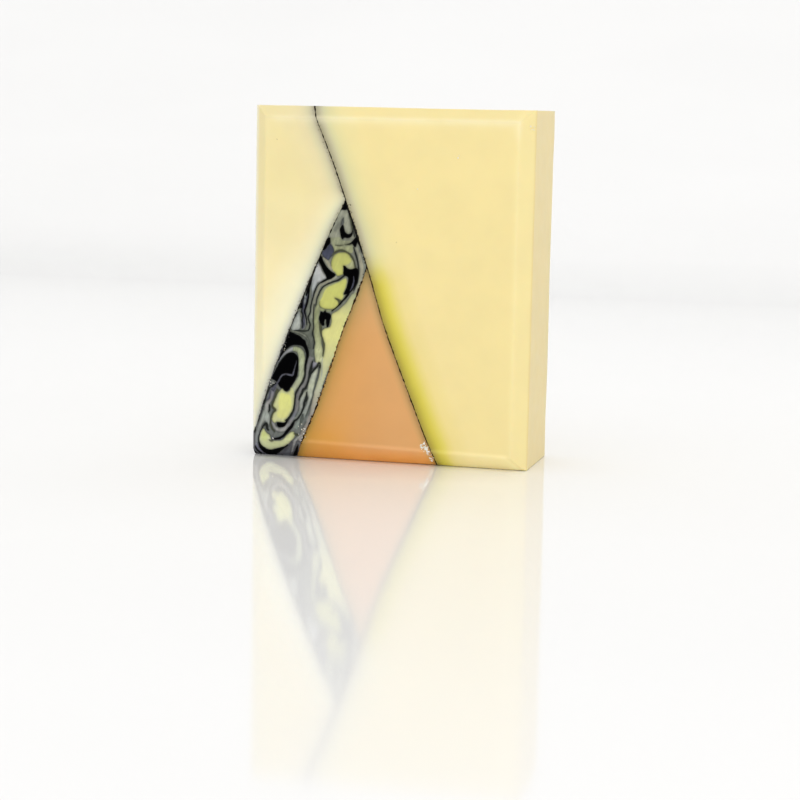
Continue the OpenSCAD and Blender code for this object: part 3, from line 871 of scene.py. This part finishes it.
class Shader:
    """A material with a Principled shader, and short ways to add nodes to it."""

    def __init__(self, name, roughness, specular, subsurface=0.0):
        self.material = bpy.data.materials.new(name)
        self.material.use_nodes = True
        self.tree = self.material.node_tree
        self.principled = self.tree.nodes["Principled BSDF"]
        self.roughness = roughness
        self.principled.inputs["Roughness"].default_value = roughness
        self.principled.inputs["Specular IOR Level"].default_value = specular
        self.principled.inputs["Subsurface Weight"].default_value = subsurface
        self.principled.inputs["Subsurface Radius"].default_value = (1.0, 0.7, 0.35)
        self.principled.inputs["Subsurface Scale"].default_value = 0.8 * MM
        self.coordinates = self.add("ShaderNodeTexCoord").outputs["Object"]

    def add(self, kind, **values):
        node = self.tree.nodes.new(kind)
        for key, value in values.items():
            setattr(node, key, value)
        return node

    def put(self, socket, value):
        """Links an output to a socket, or sets the socket to a plain value."""
        if isinstance(value, bpy.types.NodeSocket):
            self.tree.links.new(value, socket)
        else:
            socket.default_value = value

    def math(self, operation, a, b=0.0, clamp=False):
        node = self.add("ShaderNodeMath", operation=operation, use_clamp=clamp)
        self.put(node.inputs[0], a)
        self.put(node.inputs[1], b)
        return node.outputs[0]

    def attribute(self, name, output="Fac"):
        return self.add("ShaderNodeAttribute", attribute_name=name).outputs[output]

    def axis(self, name):
        """The place along one axis, in millimetres."""
        split = self.add("ShaderNodeSeparateXYZ")
        self.put(split.inputs[0], self.coordinates)
        return self.math("MULTIPLY", split.outputs[name], 1 / MM)

    def noise(self, per_mm, detail=2.0, stretch=(1, 1, 1), roughness=0.5, lean=0.0):
        """Noise from 0 to 1, with about per_mm waves in a millimetre, leaning to the right by an angle."""
        mapping = self.add("ShaderNodeMapping", vector_type="TEXTURE")
        mapping.inputs["Rotation"].default_value = (0, lean, 0)
        mapping.inputs["Scale"].default_value = [MM / (per_mm * s) for s in stretch]
        self.put(mapping.inputs["Vector"], self.coordinates)
        node = self.add("ShaderNodeTexNoise")
        node.inputs["Scale"].default_value = 1
        node.inputs["Detail"].default_value = detail
        node.inputs["Roughness"].default_value = roughness
        self.put(node.inputs["Vector"], mapping.outputs[0])
        return node.outputs["Fac"]

    def wander(self, value, amount, per_mm):
        """A value pushed up and down by noise."""
        wave = self.math("SUBTRACT", self.noise(per_mm), 0.5)
        return self.math("ADD", value, self.math("MULTIPLY", wave, 2 * amount))

    def rise(self, value, start, end):
        """A soft step from 0 at start to 1 at end."""
        node = self.add("ShaderNodeMapRange", interpolation_type="SMOOTHSTEP")
        self.put(node.inputs["Value"], value)
        node.inputs["From Min"].default_value = start
        node.inputs["From Max"].default_value = end
        return node.outputs["Result"]

    def ramp(self, value, end, stops):
        """Colours at places along a value that runs from 0 to end."""
        node = self.add("ShaderNodeValToRGB")
        self.put(node.inputs["Fac"], self.math("MULTIPLY", value, 1 / end))
        elements = node.color_ramp.elements
        while len(elements) < len(stops):
            elements.new(0.5)
        for element, (place, colour) in zip(elements, stops):
            element.position = place / end
            element.color = rgb(*colour)
        return node.outputs["Color"]

    def mix(self, factor, a, b, blend="MIX"):
        node = self.add("ShaderNodeMix", data_type="RGBA", blend_type=blend)
        self.put(node.inputs[0], factor)
        self.put(node.inputs[6], a)
        self.put(node.inputs[7], b)
        return node.outputs[2]

    def dusted(self, colour, gap, width, dust, strength):
        """Specks of charcoal dust, thick at a gap of 0 and gone at a gap of width."""
        specks = self.rise(self.noise(2.4, 2, roughness=0.6), 0.56, 0.68)
        near = self.rise(gap, width, 0.0)
        return self.mix(self.math("MULTIPLY", self.math("MULTIPLY", specks, near), strength), colour, dust)

    def finish(self, colour, marks=0.25, grain=0.15, ridge_highlight=0.0, pale=(255, 248, 216)):
        """Adds what all planed soap has: faint mottling, tiny pores, planing marks and a varying gloss. It also paints
        light and shade into the colour: painted light on the base bevel, painted shade on the top bevel and, where
        asked, a painted highlight in the pale colour along the rounded edges.
        """
        mottle = self.mix(self.rise(self.noise(0.13, 2), 0.25, 0.75), rgb(251, 251, 252), rgb(255, 255, 255))
        colour = self.mix(1.0, colour, mottle, "MULTIPLY")
        slant = (BEVEL_BASE_LEFT - BEVEL_BASE_RIGHT) / WIDTH
        behind = self.math("SUBTRACT", self.axis("Y"), FRONT)
        above = self.math("ADD", self.axis("Z"), self.math("MULTIPLY", self.axis("X"), slant))
        from_base = self.math("ADD", above, behind)
        from_top = self.math("SUBTRACT", self.axis("Z"), behind)
        base_edge = (BEVEL_BASE_LEFT + BEVEL_BASE_RIGHT) / 2
        top_edge = HEIGHT - BEVEL_TOP
        from_right = self.math("ADD", self.math("SUBTRACT", HALF - BEVEL_RIGHT, self.axis("X")), behind)
        # Painted light on the base bevel, faded out towards the right bevel, and painted shade on the top bevel
        base_bevel_lit = self.rise(from_base, base_edge + 1.1, base_edge + 0.1)
        base_bevel_lit = self.math("MULTIPLY", base_bevel_lit, self.rise(from_right, 0.1, 1.6))
        tint = self.mix(base_bevel_lit, (1, 1, 1, 1), BASE_BEVEL_LIGHT)
        tint = self.mix(self.rise(from_top, top_edge - 0.6, top_edge - 0.25), tint, TOP_BEVEL_SHADE)
        colour = self.mix(1.0, colour, tint, "MULTIPLY")
        # Painted highlight: the rounded edges lightened towards the pale colour, broken up by noise
        if ridge_highlight:
            painted_highlight = self.math("MULTIPLY", self.attribute("ridge_highlight"), self.rise(self.noise(0.2, 2), -0.1, 0.62))
            colour = self.mix(self.math("MULTIPLY", painted_highlight, ridge_highlight), colour, rgb(*pale))
        self.put(self.principled.inputs["Base Color"], colour)
        planed = self.noise(0.25, 3, (1, 1, 9), 0.6)
        fine = self.noise(2.6, 4, roughness=0.65)
        pores = self.rise(self.noise(1.7, 1), 0.27, 0.2)
        height = self.math("ADD", self.math("MULTIPLY", planed, marks), self.math("MULTIPLY", fine, grain))
        height = self.math("SUBTRACT", height, self.math("MULTIPLY", pores, 0.3))
        bump = self.add("ShaderNodeBump")
        bump.inputs["Strength"].default_value = 0.35
        bump.inputs["Distance"].default_value = 0.05 * MM
        self.put(bump.inputs["Height"], height)
        self.put(self.principled.inputs["Normal"], bump.outputs[0])
        spread = self.math("MULTIPLY", self.math("SUBTRACT", self.noise(0.35, 3), 0.5), 0.2)
        self.put(self.principled.inputs["Roughness"], self.math("ADD", spread, self.roughness))
        return self.material


# ---------------------------------------------------------------- materials
CREAM = (244, 226, 161)
DUST = rgb(88, 80, 66)


def cream_main():
    """Cream that the charcoal greys near the long line, and that lime green bleeds into beside the peach wedge, with
    painted light on the right bevel and painted shade on the right side face.
    """
    s = Shader("cream_soap", 0.36, 0.35, 0.2)
    gap = s.wander(s.attribute("from_long"), 0.16, 0.3)
    greyed = s.ramp(gap, 9, [
        (0, (166, 157, 124)), (0.6, (180, 174, 142)), (1.3, (202, 196, 158)), (1.8, (213, 208, 162)),
        (2.4, (221, 215, 163)), (3.2, (229, 220, 163)), (4.2, (234, 223, 163)), (5.5, (239, 225, 163)), (9, CREAM),
    ])
    lime = s.ramp(gap, 9, [
        (0, (166, 147, 60)), (0.6, (181, 165, 63)), (1.3, (200, 187, 70)), (1.8, (211, 198, 76)),
        (2.4, (220, 206, 86)), (3.2, (228, 214, 105)), (4.2, (235, 218, 131)), (5.5, (240, 222, 149)), (9, CREAM),
    ])
    beside_peach = s.rise(s.wander(s.axis("Z"), 1, 0.3), PEACH_TIP[1] + 4.5, PEACH_TIP[1] - 4.5)
    colour = s.mix(beside_peach, greyed, lime)
    # Painted light on the right bevel, then painted shade on the right side face
    right_bevel_light = s.rise(s.axis("X"), HALF - BEVEL_RIGHT - 1.5, HALF - BEVEL_RIGHT + 0.6)
    colour = s.mix(right_bevel_light, colour, rgb(247, 230, 166))
    colour = s.mix(s.rise(s.axis("X"), HALF - 0.5, HALF - 0.1), colour, rgb(240, 219, 154))
    return s.finish(s.dusted(colour, s.attribute("from_long"), 0.8, DUST, 0.6), ridge_highlight=0.36)


def cream_side():
    """Paler cream, palest low down, greyed where it meets the charcoal, with painted light on the left bevel."""
    s = Shader("pale_cream_soap", 0.36, 0.35, 0.2)
    from_long = s.wander(s.attribute("from_long"), 0.16, 0.3)
    beside_long = s.ramp(from_long, 9, [
        (0, (160, 150, 122)), (0.6, (188, 181, 152)), (0.9, (202, 195, 162)), (1.3, (213, 206, 168)),
        (1.8, (221, 213, 171)), (2.4, (228, 218, 173)), (3.2, (234, 221, 173)), (5, (239, 225, 172)), (9, (241, 226, 168)),
    ])
    from_left = s.wander(s.attribute("from_left"), 0.12, 0.4)
    upper = s.ramp(from_left, 9, [
        (0, (160, 158, 132)), (0.6, (194, 192, 166)), (0.9, (208, 206, 177)), (1.3, (220, 218, 184)),
        (1.8, (230, 226, 188)), (2.4, (237, 230, 188)), (3.2, (241, 231, 186)), (5.5, (243, 229, 178)), (9, (242, 228, 173)),
    ])
    lower = s.ramp(from_left, 9, [
        (0, (158, 158, 148)), (0.6, (203, 203, 187)), (0.9, (217, 217, 196)), (1.3, (229, 228, 202)),
        (1.8, (239, 236, 205)), (2.4, (244, 240, 206)), (3.2, (247, 241, 206)), (5.5, (249, 240, 200)), (9, (249, 235, 187)),
    ])
    down = s.rise(s.wander(s.axis("Z"), 2, 0.08), 56, 34)
    beside_left = s.mix(down, upper, lower)
    which = s.rise(s.math("SUBTRACT", s.attribute("from_long"), s.attribute("from_left")), -2.5, 1.5)
    colour = s.mix(which, beside_long, beside_left)
    # Painted light along the outer part of the left bevel and on the left side face
    left_bevel_light = s.rise(s.axis("X"), 1.3 - HALF, 0.4 - HALF)
    colour = s.mix(s.math("MULTIPLY", left_bevel_light, 0.6), colour, rgb(250, 246, 224))
    seam = s.math("MINIMUM", s.attribute("from_long"), s.attribute("from_left"))
    return s.finish(s.dusted(colour, seam, 1, DUST, 0.75), ridge_highlight=0.3)


def peach():
    """Peach, from orange at the left to a pinker tone at the right, shaded brown along both of its lines."""
    s = Shader("peach_soap", 0.38, 0.35, 0.2)
    across = s.rise(s.wander(s.axis("X"), 1.5, 0.1), -15, 4)
    body = s.mix(across, rgb(222, 163, 92), rgb(223, 168, 107))
    body = s.mix(s.rise(s.axis("Z"), 5, 0.5), body, rgb(233, 166, 80))
    body = s.mix(s.rise(s.axis("Z"), 26, 40), body, rgb(217, 169, 112))
    orange = s.math("MULTIPLY", s.rise(s.wander(s.axis("X"), 2, 0.1), -5, -15), s.rise(s.wander(s.axis("Z"), 2, 0.1), 14, 4))
    body = s.mix(orange, body, rgb(221, 158, 68))
    beside_middle = s.ramp(s.wander(s.attribute("from_middle"), 0.15, 0.4), 7, [
        (0, (186, 196, 188)), (0.6, (203, 219, 200)), (0.9, (217, 229, 211)), (1.3, (227, 236, 220)),
        (1.8, (236, 241, 230)), (2.4, (241, 246, 240)), (3.2, (247, 250, 247)), (4.2, (252, 253, 253)), (7, (255, 255, 255)),
    ])
    beside_long = s.ramp(s.attribute("from_long"), 7, [
        (0, (196, 204, 196)), (0.6, (219, 227, 220)), (0.9, (233, 240, 236)), (1.3, (245, 251, 250)), (2, (255, 255, 255)),
    ])
    colour = s.mix(1.0, s.mix(1.0, body, beside_middle, "MULTIPLY"), beside_long, "MULTIPLY")
    seam = s.math("MINIMUM", s.attribute("from_long"), s.attribute("from_middle"))
    # A stronger, warmer painted highlight along the peach's rounded edges
    return s.finish(s.dusted(colour, seam, 0.6, rgb(96, 62, 30), 0.6), ridge_highlight=0.8, pale=(246, 214, 170))


# How far the marble's streaks lean to the right
MARBLE_LEAN = 0.33


def marble(name, specular, subsurface, streaks):
    """A marble colour from the drawing, with fine streaks that lean with the marble and a little charcoal dust."""
    s = Shader(name, 0.4, specular, subsurface)
    strand = s.rise(s.noise(1.5, 3, (1, 1, 0.16), 0.55, MARBLE_LEAN), 0.3, 0.7)
    tint = s.mix(strand, (*[1 - streaks] * 3, 1), (*[1 + streaks] * 3, 1))
    colour = s.mix(1.0, s.attribute("tone", "Color"), tint, "MULTIPLY")
    cloud = s.rise(s.noise(0.9, 3), 0.3, 0.7)
    colour = s.mix(1.0, colour, s.mix(cloud, (*[1 - streaks / 2] * 3, 1), (*[1 + streaks / 2] * 3, 1)), "MULTIPLY")
    specks = s.rise(s.noise(3.1, 2, roughness=0.6), 0.66, 0.76)
    colour = s.mix(s.math("MULTIPLY", specks, 2 * streaks, clamp=True), colour, rgb(34, 34, 36))
    return s.finish(colour)


def marble_grey():
    return marble("grey_soap", 0.3, 0.1, 0.18)


def marble_lime():
    return marble("lime_soap", 0.35, 0.2, 0.04)


def marble_black():
    return marble("black_soap", 0.02, 0.0, 0.1)


def charcoal(name, low_colour, top, foot):
    """Charcoal powder, brown-black and grainy, that takes on another colour from the height top down to foot."""
    s = Shader(name, 0.75, 0.08)
    high = s.mix(s.rise(s.noise(2.2, 3), 0.35, 0.7), rgb(14, 12, 9), rgb(42, 37, 29))
    low = s.mix(s.rise(s.noise(1.6, 3), 0.4, 0.62), rgb(24, 17, 8), rgb(*low_colour))
    return s.finish(s.mix(s.rise(s.axis("Z"), top, foot), high, low), marks=0.05, grain=0.5)


def charcoal_long():
    return charcoal("charcoal_powder_long", (70, 54, 24), 46, 40)


def charcoal_left():
    return charcoal("charcoal_powder_left", (104, 104, 108), 40, 14)


def charcoal_middle():
    return charcoal("charcoal_powder_middle", (150, 106, 54), 44, 30)


def crumb():
    """Whitish crumbs of soap, and the rough spots where some have gone."""
    s = Shader("soap_crumbs", 0.55, 0.3, 0.2)
    return s.finish(s.mix(s.rise(s.noise(1.5, 2), 0.35, 0.65), rgb(236, 228, 205), rgb(252, 249, 236)), grain=0.4)


# ---------------------------------------------------------------- the marble's colours
# Where the colours round a point are looked up, to soften the edges of the swirls
RING = [(0, 0)] + [
    (radius * math.cos(2 * math.pi * k / count), radius * math.sin(2 * math.pi * k / count))
    for radius, count in ((0.08, 6), (0.16, 8)) for k in range(count)
]
# How much of its own colour each swirl keeps at its edge
OWN_SHARE = 0.6


def tones(names, heights):
    """The colour of each named swirl at each height, from 0 to 255."""
    out = np.zeros((len(names), 3))
    for name, stops in COLOURS.items():
        chosen = names == name
        places = [z for z, _ in stops]
        for channel in range(3):
            out[chosen, channel] = np.interp(heights[chosen], places, [c[channel] for _, c in stops])
    return out


def soft_tones(points):
    """The average colour of the swirls around each point."""
    shown = [points + offset for offset in RING]
    return sum(tones(swirl_names(p), p[:, 1]) for p in shown) / len(RING)


marble_points = np.unique(triangles[np.isin(piece_names, list(COLOURS))])
marble_flat = flat[marble_points]
softened = np.zeros((len(flat), 3))
softened[marble_points] = soft_tones(marble_flat)
marks = {
    "from_long": distance(flat, long_line), "from_left": distance(flat, left_line),
    "from_middle": distance(flat, middle_line),
}
# Two swirls show an edge where their colours differ by more than this
SHOWN_STEP = 30
# How light the marble is at each gap from such an edge: the colours ran dark where they met
EDGE_GAPS = (0, 0.12, 0.3, 0.6, 1.4)
EDGE_LIGHT = (0.42, 0.6, 0.88, 0.96, 1.0)


def edge_spots():
    """Places on the edges between two marble colours that clearly differ."""
    light = tones(piece_names, flat[triangles[:, 0], 1]).mean(1)
    first_at = {}
    spots = []
    for t in np.flatnonzero(np.isin(piece_names, list(COLOURS))):
        for k in range(3):
            a, b = sorted(triangles[t, [k, k - 1]].tolist())
            other = first_at.setdefault((a, b), t)
            if piece_names[other] != piece_names[t] and abs(light[other] - light[t]) > SHOWN_STEP:
                spots += [flat[a], flat[b], (flat[a] + flat[b]) / 2]
    return spots


def edge_light():
    """How light each marble point is by its gap from the nearest edge that shows."""
    spots = edge_spots()
    tree = KDTree(len(spots))
    for i, (x, z) in enumerate(spots):
        tree.insert((x, z, 0), i)
    tree.balance()
    gaps = [tree.find((x, z, 0))[2] for x, z in marble_flat]
    return np.interp(gaps, EDGE_GAPS, EDGE_LIGHT)


shade = np.ones((len(flat), 1))
shade[marble_points, 0] = edge_light()

# ---------------------------------------------------------------- pieces
# Each piece: its name, its parts of the drawing, its material, slot and marks, and the CAD nodes that it stands for
PIECES = [
    ("cream_main", ["cream_main_pour"], cream_main, "cream_soap", ["from_long"], ["cream_main_pour"]),
    ("cream_side", ["cream_side_pour"], cream_side, "pale_cream_soap", ["from_long", "from_left"], ["cream_side_pour"]),
    ("peach", ["peach_wedge"], peach, "peach_soap", ["from_long", "from_middle"], ["peach_wedge"]),
    ("marble_grey_body", ["grey"], marble_grey, "grey_soap", [], ["marble_grey"]),
    ("marble_pale_bands", ["light", "ash", "silver", "drab", "band"], marble_grey, "grey_soap", [], []),
    ("marble_sage_bands", ["sage", "strip"], marble_grey, "grey_soap", [], []),
    ("marble_slate_bands", ["mid", "slate"], marble_grey, "grey_soap", [], []),
    ("marble_yellow_islands", ["yellow", "core", "olive"], marble_lime, "lime_soap", [], ["marble_yellow"]),
    ("marble_lime_strip", ["pale"], marble_lime, "lime_soap", [], ["marble_pale_strip"]),
    ("marble_black_swirls", ["black", "dark"], marble_black, "black_soap", [], ["marble_black"]),
    ("charcoal_long", ["charcoal_line_long"], charcoal_long, "charcoal_powder", [], ["charcoal_line_long"]),
    ("charcoal_left", ["charcoal_line_left"], charcoal_left, "charcoal_powder", [], ["charcoal_line_left"]),
    ("charcoal_middle", ["charcoal_line_middle"], charcoal_middle, "charcoal_powder", [], ["charcoal_line_middle"]),
]

made_materials = {}


def dress(piece, make_material):
    """Gives a piece its material and slot, and lets it ride on the bar."""
    if make_material not in made_materials:
        made_materials[make_material] = make_material()
    piece.data.materials.append(made_materials[make_material])
    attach(piece, "root")


def own_tones(chosen):
    """The colour at each point as the chosen triangles around it have it."""
    total = np.zeros((len(flat), 3))
    count = np.zeros((len(flat), 1))
    for corner in range(3):
        points = triangles[chosen, corner]
        np.add.at(total, points, tones(piece_names[chosen], flat[points, 1]))
        np.add.at(count, points, 1)
    return total / np.maximum(count, 1)


for name, parts, make_material, slot, kept_marks, stood_for in PIECES:
    chosen = np.isin(piece_names, parts)
    piece, point_ids, places = solid(name, chosen)
    for kept in kept_marks:
        mark(piece, kept, marks[kept][point_ids])
    if kept_marks:
        # Painted highlight along the rounded edges of the cream and peach pours
        mark(piece, "ridge_highlight", ridge_highlight_weight(places))
    if parts[0] in COLOURS:
        blend = OWN_SHARE * own_tones(chosen) + (1 - OWN_SHARE) * softened
        mark_colour(piece, "tone", linear(blend[point_ids]) * shade[point_ids])
    dress(piece, make_material)
    if stood_for:
        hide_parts(*stood_for)

# ---------------------------------------------------------------- specks
chance = random.Random(11)


def front_point(x, z):
    """The place on the decorated face at x and z."""
    front, _ = front_and_back(np.array([x]), np.array([z]))
    point = np.array([[x, front[0], z]])
    for _ in range(4):
        far, way = reach(point)
        point = point - way * (far / (way**2).sum(1))[:, None]
    return point[0], way[0] / np.linalg.norm(way[0])


def specks(name, spots, sunk):
    """Small rough lumps set into the decorated face. Each spot is its x, its z and its radius."""
    builder = bmesh.new()
    for x, z, radius in spots:
        point, way = front_point(x, z)
        middle = Vector(point - way * (radius * sunk + 0.05))
        turn = Vector((0, 0, 1)).rotation_difference(Vector(way)).to_matrix().to_4x4()
        spin = Matrix.Rotation(chance.uniform(0, 6.28), 4, "Z")
        flatten = Matrix.Diagonal((chance.uniform(0.8, 1.3), chance.uniform(0.6, 1), 0.5, 1))
        made = bmesh.ops.create_icosphere(builder, subdivisions=2 if radius > 0.14 else 1, radius=radius)
        for vertex in made["verts"]:
            vertex.co *= 1 + 0.35 * noise.noise(vertex.co * (1.3 / radius) + Vector((x, z, 0)))
            vertex.co = middle + (turn @ spin @ flatten @ vertex.co)
            vertex.co.y = max(vertex.co.y, FRONT)
    mesh = bpy.data.meshes.new(name)
    bmesh.ops.scale(builder, vec=(MM, MM, MM), verts=builder.verts)
    builder.to_mesh(mesh)
    builder.free()
    mesh.shade_smooth()
    piece = bpy.data.objects.new(name, mesh)
    bpy.context.scene.collection.objects.link(piece)
    return piece


def beside(line, low_z, high_z, count, spread, radii):
    """Spots scattered beside a line between two heights."""
    inner = line[(line[:, 1] > low_z) & (line[:, 1] < high_z)]
    spots = []
    for _ in range(count):
        x, z = inner[chance.randrange(len(inner))]
        place = x + chance.gauss(0, spread), z + chance.uniform(-0.3, 0.3)
        spots.append((*place, chance.uniform(*radii)))
    return spots


def cluster(x, z, count, spread_x, spread_z, radii):
    """Spots scattered round a place."""
    return [
        (x + chance.gauss(0, spread_x), z + chance.gauss(0, spread_z), chance.uniform(*radii)) for _ in range(count)
    ]


GRAINS = (
    beside(long_line, 58, 77, 30, 0.12, (0.05, 0.11)) + beside(long_line, 44, 58, 46, 0.18, (0.07, 0.19))
    + beside(long_line, 2, 44, 80, 0.13, (0.06, 0.13)) + beside(middle_line, 3, 44, 90, 0.12, (0.07, 0.19))
    + beside(middle_line, 4, 27, 55, 0.1, (0.11, 0.21)) + beside(long_line, 45, 57, 24, 0.16, (0.13, 0.22))
    + [(-26, 71.5, 0.09), (-25.9, 71.9, 0.06), (1.7, 49.6, 0.08)]
)
GREY_GRAINS = (
    beside(left_line, 44, 58, 30, 0.14, (0.05, 0.12)) + beside(left_line, 15, 46, 190, 0.18, (0.06, 0.15))
    + beside(left_line, 4, 16, 40, 0.25, (0.05, 0.12))
)
CRUMBS = (
    cluster(9.05, 4.5, 34, 0.36, 0.42, (0.1, 0.27)) + cluster(9.65, 3.3, 14, 0.22, 0.4, (0.08, 0.2))
    + cluster(10.1, 2.2, 13, 0.2, 0.4, (0.08, 0.2)) + cluster(10.45, 1.2, 12, 0.18, 0.35, (0.07, 0.2))
    + cluster(-19.2, 6.2, 14, 0.45, 1, (0.06, 0.15))
    + cluster(-23.6, 25, 5, 0.2, 0.6, (0.06, 0.13)) + cluster(-26.3, 17.3, 5, 0.25, 0.4, (0.06, 0.14))
    + cluster(-26.1, 4.5, 3, 0.12, 0.12, (0.08, 0.15)) + cluster(30.9, 74.9, 9, 0.25, 0.7, (0.07, 0.2))
    + cluster(28.7, 68, 6, 0.12, 3.4, (0.05, 0.1)) + [(15.1, 68.4, 0.22), (15.35, 68.9, 0.13), (6.2, 61.4, 0.17)]
)
dress(specks("charcoal_grains", GRAINS, 0.3), charcoal_long)
dress(specks("charcoal_grains_left", GREY_GRAINS, 0.3), charcoal_left)
dress(specks("soap_crumbs", CRUMBS, 0.2), crumb)

# ---------------------------------------------------------------- floor, light and camera


def studio_material(name, colour, roughness, specular):
    s = Shader(name, roughness, specular)
    tone = s.mix(s.rise(s.noise(0.004, 2), 0.3, 0.7), rgb(*colour), rgb(*[c - 2 for c in colour]))
    s.put(s.principled.inputs["Base Color"], tone)
    return s.material


def sweep():
    """The floor, curving up into a backdrop far behind the bar."""
    reach_side, front_edge, flat_end, radius, top = 4.0, -4.0, 0.45, 2.6, 3.2
    profile = [(front_edge, 0), (flat_end, 0)]
    for i in range(1, 49):
        a = math.radians(90 * i / 48)
        profile.append((flat_end + radius * math.sin(a), radius * (1 - math.cos(a))))
    profile.append((flat_end + radius, top))
    verts = [(x, y, z) for y, z in profile for x in (-reach_side, reach_side)]
    faces = [(2 * i, 2 * i + 1, 2 * i + 3, 2 * i + 2) for i in range(len(profile) - 1)]
    mesh = bpy.data.meshes.new("floor_sweep")
    mesh.from_pydata(verts, [], faces)
    mesh.shade_smooth()
    floor = bpy.data.objects.new("floor_sweep", mesh)
    bpy.context.scene.collection.objects.link(floor)
    mesh.materials.append(studio_material("white_floor", (248, 248, 248), 0.07, 0.58))


def soft_light(name, place, target, size, power):
    data = bpy.data.lights.new(name, "AREA")
    data.shape = "RECTANGLE"
    data.size = size[0]
    data.size_y = size[1]
    data.energy = power
    lamp = bpy.data.objects.new(name, data)
    lamp.location = place
    lamp.rotation_euler = (Vector(target) - Vector(place)).to_track_quat("-Z", "Y").to_euler()
    bpy.context.scene.collection.objects.link(lamp)


sweep()
soft_light("key", (0.4, -1.3, 0.25), (0, 0, 0.04), (0.9, 0.5), 2.6)
soft_light("top", (0.1, -0.2, 1.3), (0, 0, 0.04), (1.4, 1.4), 1.3)
soft_light("backdrop", (0, 1.0, 1.2), (0, 0.8, 0), (3, 0.8), 1.9)

world = bpy.data.worlds.new("studio")
world.use_nodes = True
background = world.node_tree.nodes["Background"]
background.inputs["Color"].default_value = (1, 0.995, 0.985, 1)
background.inputs["Strength"].default_value = 0.99
bpy.context.scene.world = world
bpy.context.scene.view_settings.view_transform = "Standard"

# The camera stands a little to the right, level with the bar's top, and is tilted slightly
AZIMUTH, ELEVATION, ROLL = math.radians(13.8), math.radians(7.61), math.radians(1.19)
CAMERA_DISTANCE = 477.8
LOOK_AT = (3.28, FRONT, 14.75)
LENS = 97

back = Vector((
    math.sin(AZIMUTH) * math.cos(ELEVATION), -math.cos(AZIMUTH) * math.cos(ELEVATION), math.sin(ELEVATION),
))
right = Vector((0, 0, 1)).cross(back).normalized()
up = back.cross(right)
tilted_right = math.cos(ROLL) * right + math.sin(ROLL) * up
tilted_up = math.cos(ROLL) * up - math.sin(ROLL) * right
camera_data = bpy.data.cameras.new("camera")
camera_data.lens = LENS
camera_data.clip_start = 0.01
camera = bpy.data.objects.new("camera", camera_data)
camera.matrix_world = Matrix((tilted_right, tilted_up, back)).transposed().to_4x4()
camera.location = (Vector(LOOK_AT) + back * CAMERA_DISTANCE) * MM
bpy.context.scene.collection.objects.link(camera)
bpy.context.scene.camera = camera
